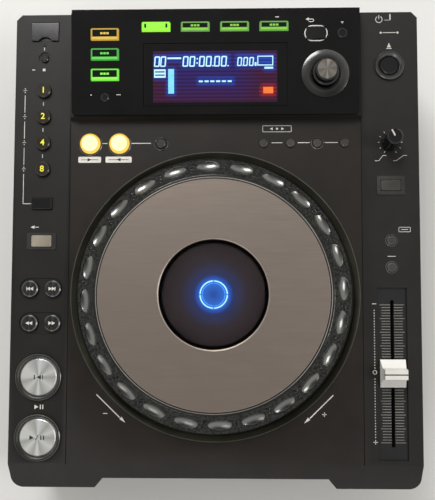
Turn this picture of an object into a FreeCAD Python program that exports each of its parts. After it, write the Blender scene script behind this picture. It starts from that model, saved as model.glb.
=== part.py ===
# Tabletop disc player for a disc jockey, as an assembly of separate pieces.
# Millimetres. +Z is up and +Y points to the rear. The origin is at the middle of the footprint, on the
# surface that the feet stand on. Names of lengths are cells of the sheet, and every piece is bound to them.
import FreeCAD, Part
import math
import os
import re
import Sketcher

from FreeCAD import Placement, Rotation, Vector

doc = FreeCAD.newDocument("disc_player")

# Driving sizes, in millimetres and degrees
SIZES = {
    # Housing
    "front_run": 35.8,
    "row_depth": 23.0,
    "hump_depth": 83.6,
    "bezel_margin": 1.3,
    "deck_height": 86.0,
    "tray_top": 30.0,
    "wall": 2.5,
    "skin": 2.5,
    "front_corner": 8.0,
    "rear_corner": 4.3,
    "notch_half": 84.2,
    "notch_run": 6.6,
    "notch_depth": 8.2,
    "fold_run": 19.9,
    "fold_drop": 12.0,
    "column_width": 42.9,
    "seam": 0.6,
    "gap": 0.3,
    "running_gap": 0.05,
    # Display hump and its sloping panel
    "hump_overlap": 0.4,
    "hump_draft": 2.6,
    "hump_front_run": 3.1,
    "panel_rise": 6.5,
    "panel_tilt": 3.96,
    "panel_length": 78.6,
    "panel_thick": 2.5,
    "panel_radius": 3.0,
    # Tray, feet and vents
    "foot_height": 5.0,
    "foot_radius": 11.0,
    "foot_inset_x": 24.0,
    "foot_inset_y": 26.0,
    "tray_floor": 2.0,
    "tray_wall": 2.0,
    "tray_inset": 1.0,
    "tray_lip": 3.0,
    "vent_length": 34.0,
    "vent_width": 3.2,
    "vent_pitch": 8.0,
    "vent_x": 112.0,
    "vent_row_pitch": 62.0,
    "wheel_pillar_inset": 13.0,
    "wheel_pillar_run": 57.0,
    "drive_pillar_inset": 12.0,
    "floor_pillar_x": 80.0,
    "floor_pillar_inset": 8.0,
    "floor_pillar_height": 8.0,
    # Rear connector panel
    "rear_recess": 11.0,
    "rear_half": 104.0,
    "rear_low": 14.0,
    "rear_high": 66.0,
    "jack_height": 44.0,
    "jack_radius": 4.1,
    "jack_pin_radius": 1.6,
    "jack_collar": 6.0,
    "jack_pitch": 14.0,
    "jack_x": 34.0,
    "jack_length": 8.5,
    "mains_x": -72.0,
    "mains_width": 20.0,
    "mains_height": 12.0,
    "mains_depth": 18.0,
    "link_x": 8.0,
    "link_size": 8.2,
    "control_x": 74.0,
    "power_x": -42.0,
    "power_size": 9.0,
    # Jog wheel
    "bezel_radius": 108.3,
    "bezel_width": 4.1,
    "bezel_drop": 4.0,
    "bezel_depth": 9.0,
    "wheel_gap": 1.2,
    "shoulder_inset": 2.4,
    "grip_width": 17.6,
    "wheel_shoulder_rise": 9.6,
    "wheel_top_rise": 18.4,
    "wheel_skirt": 6.0,
    "wheel_wall": 2.6,
    "platter_gap": 2.0,
    "platter_rise": 20.5,
    "platter_thick": 3.0,
    "window_radius": 39.4,
    "window_thick": 1.6,
    "window_sink": 0.8,
    "dimple_length": 16.4,
    "dimple_width": 9.6,
    "dimple_radius": 3.2,
    "dimple_lift": 1.9,
    "dimple_count": 24,
    "dimple_turn": 2.6,
    "post_radius": 12.0,
    "hub_wall": 3.0,
    "web_rise": 3.0,
    "web_thick": 2.0,
    "carrier_height": 60.0,
    "carrier_thick": 2.5,
    "carrier_inset": 6.0,
    "display_radius": 36.0,
    "display_thick": 4.0,
    "display_sink": 2.2,
    # Push buttons and what they press
    "button_travel": 0.8,
    "button_gap": 0.3,
    "flange": 1.2,
    "flange_thick": 1.0,
    "stem_radius": 1.5,
    "bevel": 0.7,
    "switch_rise": 3.6,
    "switch_size": 6.0,
    "board_thick": 1.6,
    "board_drop": 12.0,
    "board_width": 34.0,
    "board_front_run": 10.5,
    "board_rear_run": 28.5,
    "main_board_near": 103.5,
    "main_board_far": 21.5,
    "boss_radius": 2.6,
    # Left column
    "left_inset": 22.1,
    "stop_run": 34.1,
    "stop_radius": 2.9,
    "stop_rise": 1.2,
    "stop_well": 4.8,
    "beat_run": 59.3,
    "beat_pitch": 20.13,
    "beat_radius": 5.5,
    "beat_rise": 2.6,
    "select_run": 145.9,
    "select_width": 15.0,
    "select_depth": 8.6,
    "select_rise": 1.6,
    "turn_run": 184.7,
    "turn_width": 15.1,
    "turn_depth": 8.7,
    "turn_rise": 1.4,
    "turn_frame_x": 3.4,
    "turn_frame_y": 2.0,
    "track_run": 148.9,
    "search_run": 123.3,
    "pair_inset": 22.9,
    "pair_half": 8.5,
    "pair_radius": 6.1,
    "pair_rise": 2.0,
    "pair_well": 8.1,
    "pair_sink": 0.6,
    "cue_run": 83.3,
    "play_run": 39.0,
    "transport_inset": 21.8,
    "transport_radius": 13.9,
    "transport_rise": 0.6,
    "transport_ring": 17.1,
    "ring_rise": 1.9,
    "ring_seat": 1.2,
    # Row between the wheel and the hump
    "row_inset": 16.7,
    "in_x": -94.6,
    "out_x": -72.5,
    "loop_radius": 7.4,
    "loop_rise": 2.0,
    "reloop_x": -40.9,
    "reloop_radius": 3.5,
    "call_x": 46.5,
    "call_half": 10.1,
    "delete_x": 76.7,
    "memory_x": 97.1,
    "small_radius": 3.2,
    "small_rise": 1.5,
    "small_ring": 4.9,
    "small_ring_rise": 0.5,
    # Right column
    "right_inset": 21.3,
    "eject_run": 41.4,
    "eject_radius": 6.8,
    "eject_rise": 1.4,
    "eject_ring": 11.0,
    "speed_run": 100.1,
    "speed_radius": 6.8,
    "speed_top": 5.8,
    "speed_rise": 17.3,
    "speed_turn_gap": 0.5,
    "shaft_radius": 3.0,
    "jog_mode_run": 132.7,
    "jog_mode_width": 14.4,
    "jog_mode_depth": 7.8,
    "jog_mode_rise": 1.4,
    "jog_mode_frame": 3.2,
    "range_run": 184.9,
    "master_run": 164.9,
    "tempo_radius": 3.5,
    # Pitch fader
    "fader_inset": 21.4,
    "fader_run": 86.7,
    "fader_width": 21.6,
    "fader_length": 126.0,
    "fader_sink": 1.0,
    "fader_thick": 2.0,
    "fader_slot": 2.6,
    "fader_travel": 50.4,
    "fader_cap_width": 18.8,
    "fader_cap_length": 20.4,
    "fader_cap_rise": 5.0,
    "fader_ridge_rise": 12.0,
    "fader_ridge_length": 7.0,
    "fader_stem": 1.8,
    "fader_track_drop": 14.0,
    # Memory stick port and its flap
    "port_inset": 22.4,
    "port_run": 13.1,
    "flap_width": 20.2,
    "flap_length": 14.6,
    "flap_thick": 2.4,
    "flap_rise": 1.0,
    "port_width": 12.6,
    "port_throat": 5.6,
    "port_wall": 0.9,
    "port_depth": 15.0,
    # Controls on the display panel, with places along the slope
    "source_x": -82.3,
    "source_width": 20.8,
    "source_depth": 8.8,
    "link_along": 60.3,
    "stick_along": 45.4,
    "disc_along": 30.2,
    "time_along": 13.3,
    "menu_along": 65.6,
    "menu_width": 21.0,
    "menu_depth": 7.0,
    "menu_pitch": 29.3,
    "back_x": 75.1,
    "back_along": 60.0,
    "back_width": 14.4,
    "back_depth": 9.4,
    "tag_x": 94.5,
    "tag_radius": 3.7,
    "panel_button_rise": 1.0,
    "selector_x": 82.1,
    "selector_along": 30.1,
    "selector_ring": 17.6,
    "selector_well": 10.9,
    "selector_radius": 8.4,
    "selector_rise": 11.3,
    "selector_flutes": 30,
    "window_left": -53.5,
    "window_right": 53.9,
    "window_near": 6.6,
    "window_far": 53.4,
    "module_depth": 8.0,
    "panel_board_drop": 12.0,
    # Slot-in disc drive
    "slot_height": 45.0,
    "slot_width": 128.0,
    "slot_open": 5.6,
    "front_plate_half": 79.0,
    "front_plate_low": 34.0,
    "front_plate_high": 58.0,
    "drive_half": 73.0,
    "drive_front": 5.0,
    "drive_length": 152.0,
    "drive_low": 34.0,
    "drive_rise": 17.0,
    "drive_sheet": 1.2,
    "disc_run": 84.5,
    "hub_radius": 14.0,
    "motor_radius": 18.0,
    "spindle_radius": 2.0,
}

# Sizes and places worked out from those above. The wheel, its margin and the columns make the width.
# The front edge, the wheel, the row of buttons and the display's hump make the depth.
WORKED_OUT = {
    "deck_width": "2 * (bezel_radius + bezel_margin)",
    "body_width": "deck_width + 2 * column_width",
    "body_depth": "front_run + 2 * bezel_radius + row_depth + hump_depth",
    "jog_y": "-body_depth / 2 + front_run + bezel_radius",
    "bezel_inner": "bezel_radius - bezel_width",
    "wheel_radius": "bezel_inner - wheel_gap",
    "wheel_shoulder": "wheel_radius - shoulder_inset",
    "platter_seat": "wheel_radius - grip_width",
    "platter_radius": "platter_seat - platter_gap",
    "carrier_radius": "wheel_radius - carrier_inset",
    "wheel_pillar_x": "carrier_radius - wheel_pillar_inset",
    "wheel_pillar_y": "carrier_radius - wheel_pillar_run",
    "hump_half": "deck_width / 2 + hump_overlap",
    "hump_front": "body_depth / 2 - hump_depth",
    "row_y": "hump_front - row_inset",
    "left_x": "-body_width / 2 + left_inset",
    "pair_x": "-body_width / 2 + pair_inset",
    "transport_x": "-body_width / 2 + transport_inset",
    "port_x": "-body_width / 2 + port_inset",
    "right_x": "body_width / 2 - right_inset",
    "fader_x": "body_width / 2 - fader_inset",
    "port_y": "body_depth / 2 - port_run",
    "stop_y": "body_depth / 2 - stop_run",
    "eject_y": "body_depth / 2 - eject_run",
    "beat_y": "body_depth / 2 - beat_run",
    "speed_y": "body_depth / 2 - speed_run",
    "jog_mode_y": "body_depth / 2 - jog_mode_run",
    "select_y": "body_depth / 2 - select_run",
    "range_y": "-body_depth / 2 + range_run",
    "turn_y": "-body_depth / 2 + turn_run",
    "master_y": "-body_depth / 2 + master_run",
    "track_y": "-body_depth / 2 + track_run",
    "search_y": "-body_depth / 2 + search_run",
    "fader_y": "-body_depth / 2 + fader_run",
    "cue_y": "-body_depth / 2 + cue_run",
    "play_y": "-body_depth / 2 + play_run",
    "disc_y": "-body_depth / 2 + disc_run",
}

# Runs of the screw bosses under the columns, from the front edge, and their places along the row
BOSS_RUNS = (21.5, 101.5, 167.5, 241.5, 327.5)
ROW_BOSSES = (-100.0, -22.0, 20.0, 106.0)

sheet = doc.addObject("Spreadsheet::Sheet", "Sizes")
cells = list(SIZES.items()) + [(word, "=" + text) for word, text in WORKED_OUT.items()]
for row, (word, content) in enumerate(cells, 1):
    sheet.set(f"A{row}", word)
    sheet.set(f"B{row}", str(content))
    sheet.setAlias(f"B{row}", word)
    doc.recompute()


# Small tools that bind objects to the sheet
def bound(text):
    """The text of a formula, with each named size pointing at its cell."""
    known = {**SIZES, **WORKED_OUT}
    return re.sub(r"[a-z][a-z_]*", lambda word: "Sizes." + word[0] if word[0] in known else word[0],
                  str(text))


def size(name):
    """The present value of a named size."""
    return float(sheet.get(name))


def bind(item, **formulas):
    """Binds properties of an object to formulas."""
    for name, text in formulas.items():
        item.setExpression(name, bound(text))
    return item


def place(item, x=0, y=0, z=0):
    """Binds the place of an object."""
    for axis, text in zip("xyz", (x, y, z)):
        item.setExpression(f"Placement.Base.{axis}", bound(text))
    return item


def turn(item, axis, angle):
    """Turns an object about an axis through its own origin, by a bound angle."""
    item.Placement = Placement(item.Placement.Base, Rotation(Vector(*axis), 1))
    item.setExpression("Placement.Rotation.Angle", bound(angle))
    return item


def on_panel(item, x, along, rise=0):
    """Places an object on the sloping display panel: across, up the slope and out of its face."""
    turn(item, (1, 0, 0), "panel_tilt")
    run = f"({along}) * cos(panel_tilt) - ({rise}) * sin(panel_tilt)"
    climb = f"({along}) * sin(panel_tilt) + ({rise}) * cos(panel_tilt)"
    return place(item, x, f"{PANEL_Y} + {run}", f"{PANEL_Z} + {climb}")


def box(name, x, y, z):
    """A box from three pairs of formulas, each a low and a high side."""
    item = doc.addObject("Part::Box", name)
    bind(item, Length=f"({x[1]}) - ({x[0]})", Width=f"({y[1]}) - ({y[0]})", Height=f"({z[1]}) - ({z[0]})")
    return place(item, x[0], y[0], z[0])


def middle_box(name, x, y, width, depth, z):
    """A box about a middle point in plan."""
    return box(name, around(x, width), around(y, depth), z)


def around(middle, width, margin=0):
    """The two sides of a span about its middle, with a margin outside it."""
    return f"{middle} - ({width}) / 2 - {margin}", f"{middle} + ({width}) / 2 + {margin}"


def rod(name, x, y, z, radius):
    """An upright cylinder from a low to a high level."""
    item = doc.addObject("Part::Cylinder", name)
    bind(item, Radius=radius, Height=f"({z[1]}) - ({z[0]})")
    return place(item, x, y, z[0])


def fused(name, *items):
    """One solid from several that touch or overlap."""
    item = doc.addObject("Part::MultiFuse", name)
    item.Shapes = list(items)
    item.Refine = True
    return item


def group(name, *items):
    """Several separate solids under one name."""
    item = doc.addObject("Part::Compound", name)
    item.Links = list(items)
    return item


def cut(name, base, *tools):
    """A solid with one or more tools taken out of it."""
    item = doc.addObject("Part::Cut", name)
    item.Base = base
    item.Tool = tools[0] if len(tools) == 1 else group(name + "_cutters", *tools)
    item.Refine = True
    return item


def body_named(name):
    """An empty PartDesign body."""
    return doc.addObject("PartDesign::Body", name)


def outline(body, plane, points, level=0):
    """A closed sketch of straight lines through bound points, on one of the body's own planes."""
    sketch = body.newObject("Sketcher::SketchObject", body.Name + "_outline")
    support = [item for item in body.Origin.OriginFeatures if item.Role == plane][0]
    sketch.AttachmentSupport = (support, "")
    sketch.MapMode = "FlatFace"
    sketch.setExpression("AttachmentOffset.Base.z", bound(level))
    count = len(points)
    circle = [Vector(math.cos(math.tau * k / count), math.sin(math.tau * k / count), 0) for k in range(count)]
    for k in range(count):
        sketch.addGeometry(Part.LineSegment(circle[k], circle[(k + 1) % count]), False)
    for k in range(count):
        sketch.addConstraint(Sketcher.Constraint("Coincident", k, 2, (k + 1) % count, 1))
    for k, point in enumerate(points):
        for side, kind, text in zip("xy", ("DistanceX", "DistanceY"), point):
            start = circle[k].x if side == "x" else circle[k].y
            index = sketch.addConstraint(Sketcher.Constraint(kind, -1, 1, k, 1, start))
            sketch.renameConstraint(index, f"{side}{k}")
            sketch.setExpression(f"Constraints.{side}{k}", bound(text))
    return sketch


def pad(body, sketch, length, name="pad"):
    """Adds a sketch's outline as a prism."""
    item = body.newObject("PartDesign::Pad", f"{body.Name}_{name}")
    item.Profile = sketch
    item.setExpression("Length", bound(length))
    return item


def pocket_both(body, sketch, name="pocket"):
    """Cuts a sketch's outline right through on both sides."""
    item = body.newObject("PartDesign::Pocket", f"{body.Name}_{name}")
    item.Profile = sketch
    item.Type = "ThroughAll"
    item.Midplane = True
    return item


def revolved(name, points):
    """A turned piece, from its half profile of radius and height."""
    body = body_named(name)
    sketch = outline(body, "XZ_Plane", points)
    item = body.newObject("PartDesign::Revolution", name + "_turning")
    item.Profile = sketch
    item.ReferenceAxis = (sketch, ["V_Axis"])
    item.Angle = 360
    body.Tip = item
    return body


def rounded(body, item, radius, wanted, kind="Fillet", name="rounding"):
    """Rounds or bevels the edges of a feature that a test picks."""
    doc.recompute()
    names = [f"Edge{k}" for k, edge in enumerate(item.Shape.Edges, 1) if wanted(edge)]
    finish = body.newObject("PartDesign::" + kind, f"{body.Name}_{name}")
    finish.Base = (item, names)
    finish.setExpression("Radius" if kind == "Fillet" else "Size", bound(radius))
    body.Tip = finish
    return finish


def upright(edge):
    """True for a straight vertical edge."""
    ends = [vertex.Point for vertex in edge.Vertexes]
    return len(ends) == 2 and abs(ends[0].x - ends[1].x) < 1e-6 and abs(ends[0].y - ends[1].y) < 1e-6


def block(name, width, depth, low, high, radius, bevel=None):
    """A block about its own origin with rounded upright edges and, where asked, a bevelled top."""
    body = body_named(name)
    w, d = f"({width}) / 2", f"({depth}) / 2"
    corners = [(f"-{w}", f"-{d}"), (w, f"-{d}"), (w, d), (f"-{w}", d)]
    item = pad(body, outline(body, "XY_Plane", corners, low), f"({high}) - ({low})")
    item = rounded(body, item, radius, upright)
    if bevel:
        top = item.Shape.BoundBox.ZMax
        rounded(body, item, bevel, lambda edge: edge.BoundBox.ZMin > top - 1e-6, "Chamfer", "bevel")
    return body


# Places that several pieces share
REAR = "body_depth / 2"
FRONT = "(-body_depth / 2 + notch_depth)"
PANEL_Y = "(hump_front + hump_front_run)"
PANEL_Z = "(deck_height + panel_rise)"
FLOOR_TOP = "(foot_height + tray_floor)"
SKIN_UNDER = "(deck_height - skin)"
BOARD_TOP = "(deck_height - board_drop)"
SWITCH_TOP = "(-board_drop + switch_rise)"


# Housing
def form(name, inset, low, high, bevel):
    """The housing's outline in plan, set in by a wall, with the fold along its front edge."""
    body = body_named(name)
    inset = f"({inset})"
    x, y = f"(body_width / 2 - {inset})", f"(body_depth / 2 - {inset})"
    near, far = f"(notch_half + {inset})", f"(notch_half + notch_run + {inset})"
    back = f"(body_depth / 2 - notch_depth - {inset})"
    side = f"(body_depth / 2 - rear_corner - 0.4 * {inset})"
    end = f"(body_width / 2 - rear_corner - 0.4 * {inset})"
    right = [(near, f"-{back}"), (far, f"-{y}"), (x, f"-{y}"), (x, side), (end, y)]
    left = [(f"-{across}", along) for across, along in reversed(right)]
    item = pad(body, outline(body, "XY_Plane", right + left, low), f"({high}) - ({low})")
    side_reach = size("notch_half") + size("notch_run") + size("front_corner")
    front_reach = -size("body_depth") / 2 + size("fold_run") / 2
    item = rounded(body, item, f"front_corner - {inset}", lambda edge: upright(edge)
                   and abs(edge.BoundBox.XMax) > side_reach and edge.BoundBox.YMax < front_reach)
    if bevel:
        fold = "(-body_depth / 2 + fold_run)"
        start, past = f"{fold} + {inset} / 2", f"-{REAR} - 20"
        fallen = f"({high}) - fold_drop * (1 + 20 / fold_run)"
        lip = [(start, high), (past, fallen), (past, f"({high}) + 20"), (start, f"({high}) + 20")]
        item = pocket_both(body, outline(body, "YZ_Plane", lip), "fold")
        body.Tip = item
    return body


def hump_form(name, inset, low, top):
    """The raised base of the display: a drafted block cut off along the panel's slope."""
    wedge = doc.addObject("Part::Wedge", name + "_wedge")
    high = "(deck_height + 40)"
    inset = f"({inset})"
    slope = f"({high} - deck_height) / panel_rise"
    half, lean = f"hump_half - {inset}", f"hump_draft * {slope} / 2"
    rear = f"-({REAR} - 0.6 - {inset})"
    bind(wedge, Ymin=low, Ymax=high, Xmin=f"-({half})", Xmax=half, X2min=f"-({half} - {lean})",
         X2max=f"{half} - {lean}",
         Zmin=rear, Zmax=f"-(hump_front + {inset})",
         Z2min=rear, Z2max=f"-(hump_front + {inset} + hump_front_run * {slope})")
    wedge.Placement = Placement(Vector(), Rotation(Vector(1, 0, 0), 90))
    above = doc.addObject("Part::Box", name + "_above")
    bind(above, Length="body_width", Width="2 * body_depth", Height="100")
    on_panel(above, "-body_width / 2", "-body_depth", top)
    return cut(name, wedge, above)


def button_places():
    """Every push button: name, place and size, kind and rise, in formulas."""
    rows = [("usb_stop", "left_x", "stop_y", "stop_radius", "stop_rise")]
    for k in range(4):
        rows.append((f"beat_{2 ** k}", "left_x", f"beat_y - {k} * beat_pitch", "beat_radius", "beat_rise"))
    rows += [("track_back", "pair_x - pair_half", "track_y", "pair_radius", "pair_rise"),
             ("track_forward", "pair_x + pair_half", "track_y", "pair_radius", "pair_rise"),
             ("search_back", "pair_x - pair_half", "search_y", "pair_radius", "pair_rise"),
             ("search_forward", "pair_x + pair_half", "search_y", "pair_radius", "pair_rise"),
             ("cue", "transport_x", "cue_y", "transport_radius", "transport_rise"),
             ("play", "transport_x", "play_y", "transport_radius", "transport_rise"),
             ("loop_in", "in_x", "row_y", "loop_radius", "loop_rise"),
             ("loop_out", "out_x", "row_y", "loop_radius", "loop_rise"),
             ("reloop", "reloop_x", "row_y", "reloop_radius", "small_rise"),
             ("call_back", "call_x - call_half", "row_y", "small_radius", "small_rise"),
             ("call_forward", "call_x + call_half", "row_y", "small_radius", "small_rise"),
             ("delete", "delete_x", "row_y", "small_radius", "small_rise"),
             ("memory", "memory_x", "row_y", "small_radius", "small_rise"),
             ("eject", "right_x", "eject_y", "eject_radius", "eject_rise"),
             ("tempo_range", "right_x", "range_y", "tempo_radius", "small_rise"),
             ("master_tempo", "right_x", "master_y", "tempo_radius", "small_rise")]
    return rows


BLOCK_BUTTONS = [
    ("beat_select", "left_x", "select_y", "select_width", "select_depth", "select_rise"),
    ("direction", "left_x", "turn_y", "turn_width", "turn_depth", "turn_rise"),
    ("jog_mode", "right_x", "jog_mode_y", "jog_mode_width", "jog_mode_depth", "jog_mode_rise"),
]
PANEL_BUTTONS = [
    ("link_source", "source_x", "link_along", "source_width", "source_depth"),
    ("usb_source", "source_x", "stick_along", "source_width", "source_depth"),
    ("disc_source", "source_x", "disc_along", "source_width", "source_depth"),
    ("browse", "-1.5 * menu_pitch", "menu_along", "menu_width", "menu_depth"),
    ("tag_list", "-0.5 * menu_pitch", "menu_along", "menu_width", "menu_depth"),
    ("info", "0.5 * menu_pitch", "menu_along", "menu_width", "menu_depth"),
    ("menu", "1.5 * menu_pitch", "menu_along", "menu_width", "menu_depth"),
    ("back", "back_x", "back_along", "back_width", "back_depth"),
]
PANEL_ROUND = [("time_mode", "source_x", "time_along", "small_radius"),
               ("tag_track", "tag_x", "back_along", "tag_radius")]


def turned_button(name, radius, rise, skin_depth, stem_end):
    """A round button about its own origin on the face it comes through, with its flange and stem below."""
    under = f"-({skin_depth}) - button_gap"
    low = f"{under} - flange_thick"
    return revolved(name, [
        ("0", stem_end), ("stem_radius", stem_end), ("stem_radius", low), (f"{radius} + flange", low),
        (f"{radius} + flange", under), (radius, under), (radius, f"{rise} - bevel"),
        (f"{radius} - bevel * 1.3", rise), ("0", rise)])


def block_button(name, width, depth, rise, skin_depth, stem_end):
    """A rectangular button about its own origin, with its flange and stem below."""
    under = f"-({skin_depth}) - button_gap"
    low = f"{under} - flange_thick"
    cap = block(name + "_cap", width, depth, under, rise, "bevel * 1.5", "bevel * 0.8")
    base = middle_box(name + "_flange", "0", "0", f"{width} + 2 * flange", f"{depth} + 2 * flange",
                      (low, under))
    stem = rod(name + "_stem", "0", "0", (stem_end, low), "stem_radius")
    return fused(name, cap, base, stem)


def make_buttons():
    """All the push buttons of the deck and of the display panel."""
    made = []
    end = f"{SWITCH_TOP} + button_travel + button_gap"
    for name, x, y, radius, rise in button_places():
        made.append(place(turned_button(name, radius, rise, "skin", end), x, y, "deck_height"))
    for name, x, y, width, depth, rise in BLOCK_BUTTONS:
        made.append(place(block_button(name, width, depth, rise, "skin", end), x, y, "deck_height"))
    panel_end = "-panel_board_drop + switch_rise + button_travel + button_gap"
    for name, x, along, width, depth in PANEL_BUTTONS:
        piece = block_button(name, width, depth, "panel_button_rise", "panel_thick", panel_end)
        made.append(on_panel(piece, x, along))
    for name, x, along, radius in PANEL_ROUND:
        piece = turned_button(name, radius, "panel_button_rise", "panel_thick", panel_end)
        made.append(on_panel(piece, x, along))
    return made


def make_top_cover():
    """The upper moulding: columns, deck, folded front edge and the walls under the display panel."""
    outside = form("cover_outside", "0", "tray_top + gap", "deck_height", True)
    inside = form("cover_inside", "wall", "tray_top - 5", SKIN_UNDER, True)
    shell = cut("cover_shell", outside, inside)
    hump = hump_form("hump_outside", "0", SKIN_UNDER, "-panel_thick - gap")
    hollow = hump_form("hump_inside", "wall * 1.3", f"({SKIN_UNDER} - 1)", "20")
    bosses = []
    for side, x in (("left", "left_x - 13"), ("right", "right_x + 13")):
        for k, run in enumerate(BOSS_RUNS):
            bosses.append(rod(f"cover_boss_{side}_{k}", x, f"-body_depth / 2 + {run}",
                              (BOARD_TOP, f"{SKIN_UNDER} + 1"), "boss_radius"))
    for k, x in enumerate(ROW_BOSSES):
        bosses.append(rod(f"cover_boss_row_{k}", x, "row_y + 10.5", (BOARD_TOP, f"{SKIN_UNDER} + 1"),
                          "boss_radius"))
    solid = fused("cover_solid", shell, hump, *bosses)
    holes = [hollow]
    holes.append(rod("cover_jog_hole", "0", "jog_y", (f"{SKIN_UNDER} - 2", "deck_height + 2"),
                     "bezel_radius - gap"))
    for name, x, y, radius, rise in button_places():
        holes.append(rod(name + "_hole", x, y, (f"{SKIN_UNDER} - 0.1", "deck_height + 1"),
                         f"{radius} + button_gap"))
    for name, x, y, width, depth, rise in BLOCK_BUTTONS:
        holes.append(middle_box(name + "_hole", x, y, f"{width} + 2 * button_gap",
                                f"{depth} + 2 * button_gap",
                                (f"{SKIN_UNDER} - 0.1", "deck_height + 1")))
    for name, y in (("track", "track_y"), ("search", "search_y")):
        well = block(name + "_well", "2 * (pair_half + pair_well)", "2 * pair_well",
                     "deck_height - pair_sink",
                     "deck_height + 1", "pair_well - 0.1")
        holes.append(place(well, "pair_x", y, "0"))
    holes.append(rod("stop_well_cut", "left_x", "stop_y", ("deck_height - pair_sink", "deck_height + 1"),
                     "stop_well"))
    for name, x, y, radius, inner, rise in RINGS:
        holes.append(rod(name + "_seat", x, y, ("deck_height - ring_seat", "deck_height + 1"),
                         f"{radius} + 0.02"))
    holes.append(rod("speed_hole", "right_x", "speed_y", (f"{SKIN_UNDER} - 1", "deck_height + 1"),
                     "shaft_radius + gap"))
    holes.append(middle_box("fader_seat", "fader_x", "fader_y", "fader_width + 0.1", "fader_length + 0.1",
                            ("deck_height - fader_sink - fader_thick", "deck_height + 1")))
    holes.append(middle_box("fader_hole", "fader_x", "fader_y", "fader_width - 6", "fader_length - 6",
                            (f"{SKIN_UNDER} - 2", "deck_height + 1")))
    holes.append(middle_box("flap_seat", "port_x", "port_y", "flap_width + 2 * gap", "flap_length + 2 * gap",
                            ("deck_height + flap_rise - flap_thick - gap", "deck_height + 1")))
    holes.append(middle_box("port_hole", "port_x", "port_y - 1", "port_width + 2 * port_wall + 0.1",
                            "port_throat + 2 * port_wall + 0.1", (f"{SKIN_UNDER} - 2", "deck_height + 1")))
    holes.append(box("front_window", ("-front_plate_half", "front_plate_half"),
                     (f"{FRONT} - 1", f"{FRONT} + wall + 1"),
                     ("front_plate_low", "front_plate_high")))
    holes.append(box("rear_window", ("-rear_half", "rear_half"), (f"{REAR} - wall - 1", f"{REAR} + 1"),
                     ("tray_top - 1", "rear_high")))
    for side, x in (("left", "-(body_width / 2 - column_width)"), ("right", "body_width / 2 - column_width")):
        holes.append(box(f"seam_{side}", (f"{x} - seam / 2", f"{x} + seam / 2"),
                         ("-body_depth / 2 + fold_run", REAR),
                         ("deck_height - seam", "deck_height + 0.01")))
    return cut("top_cover", solid, *holes)


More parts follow.
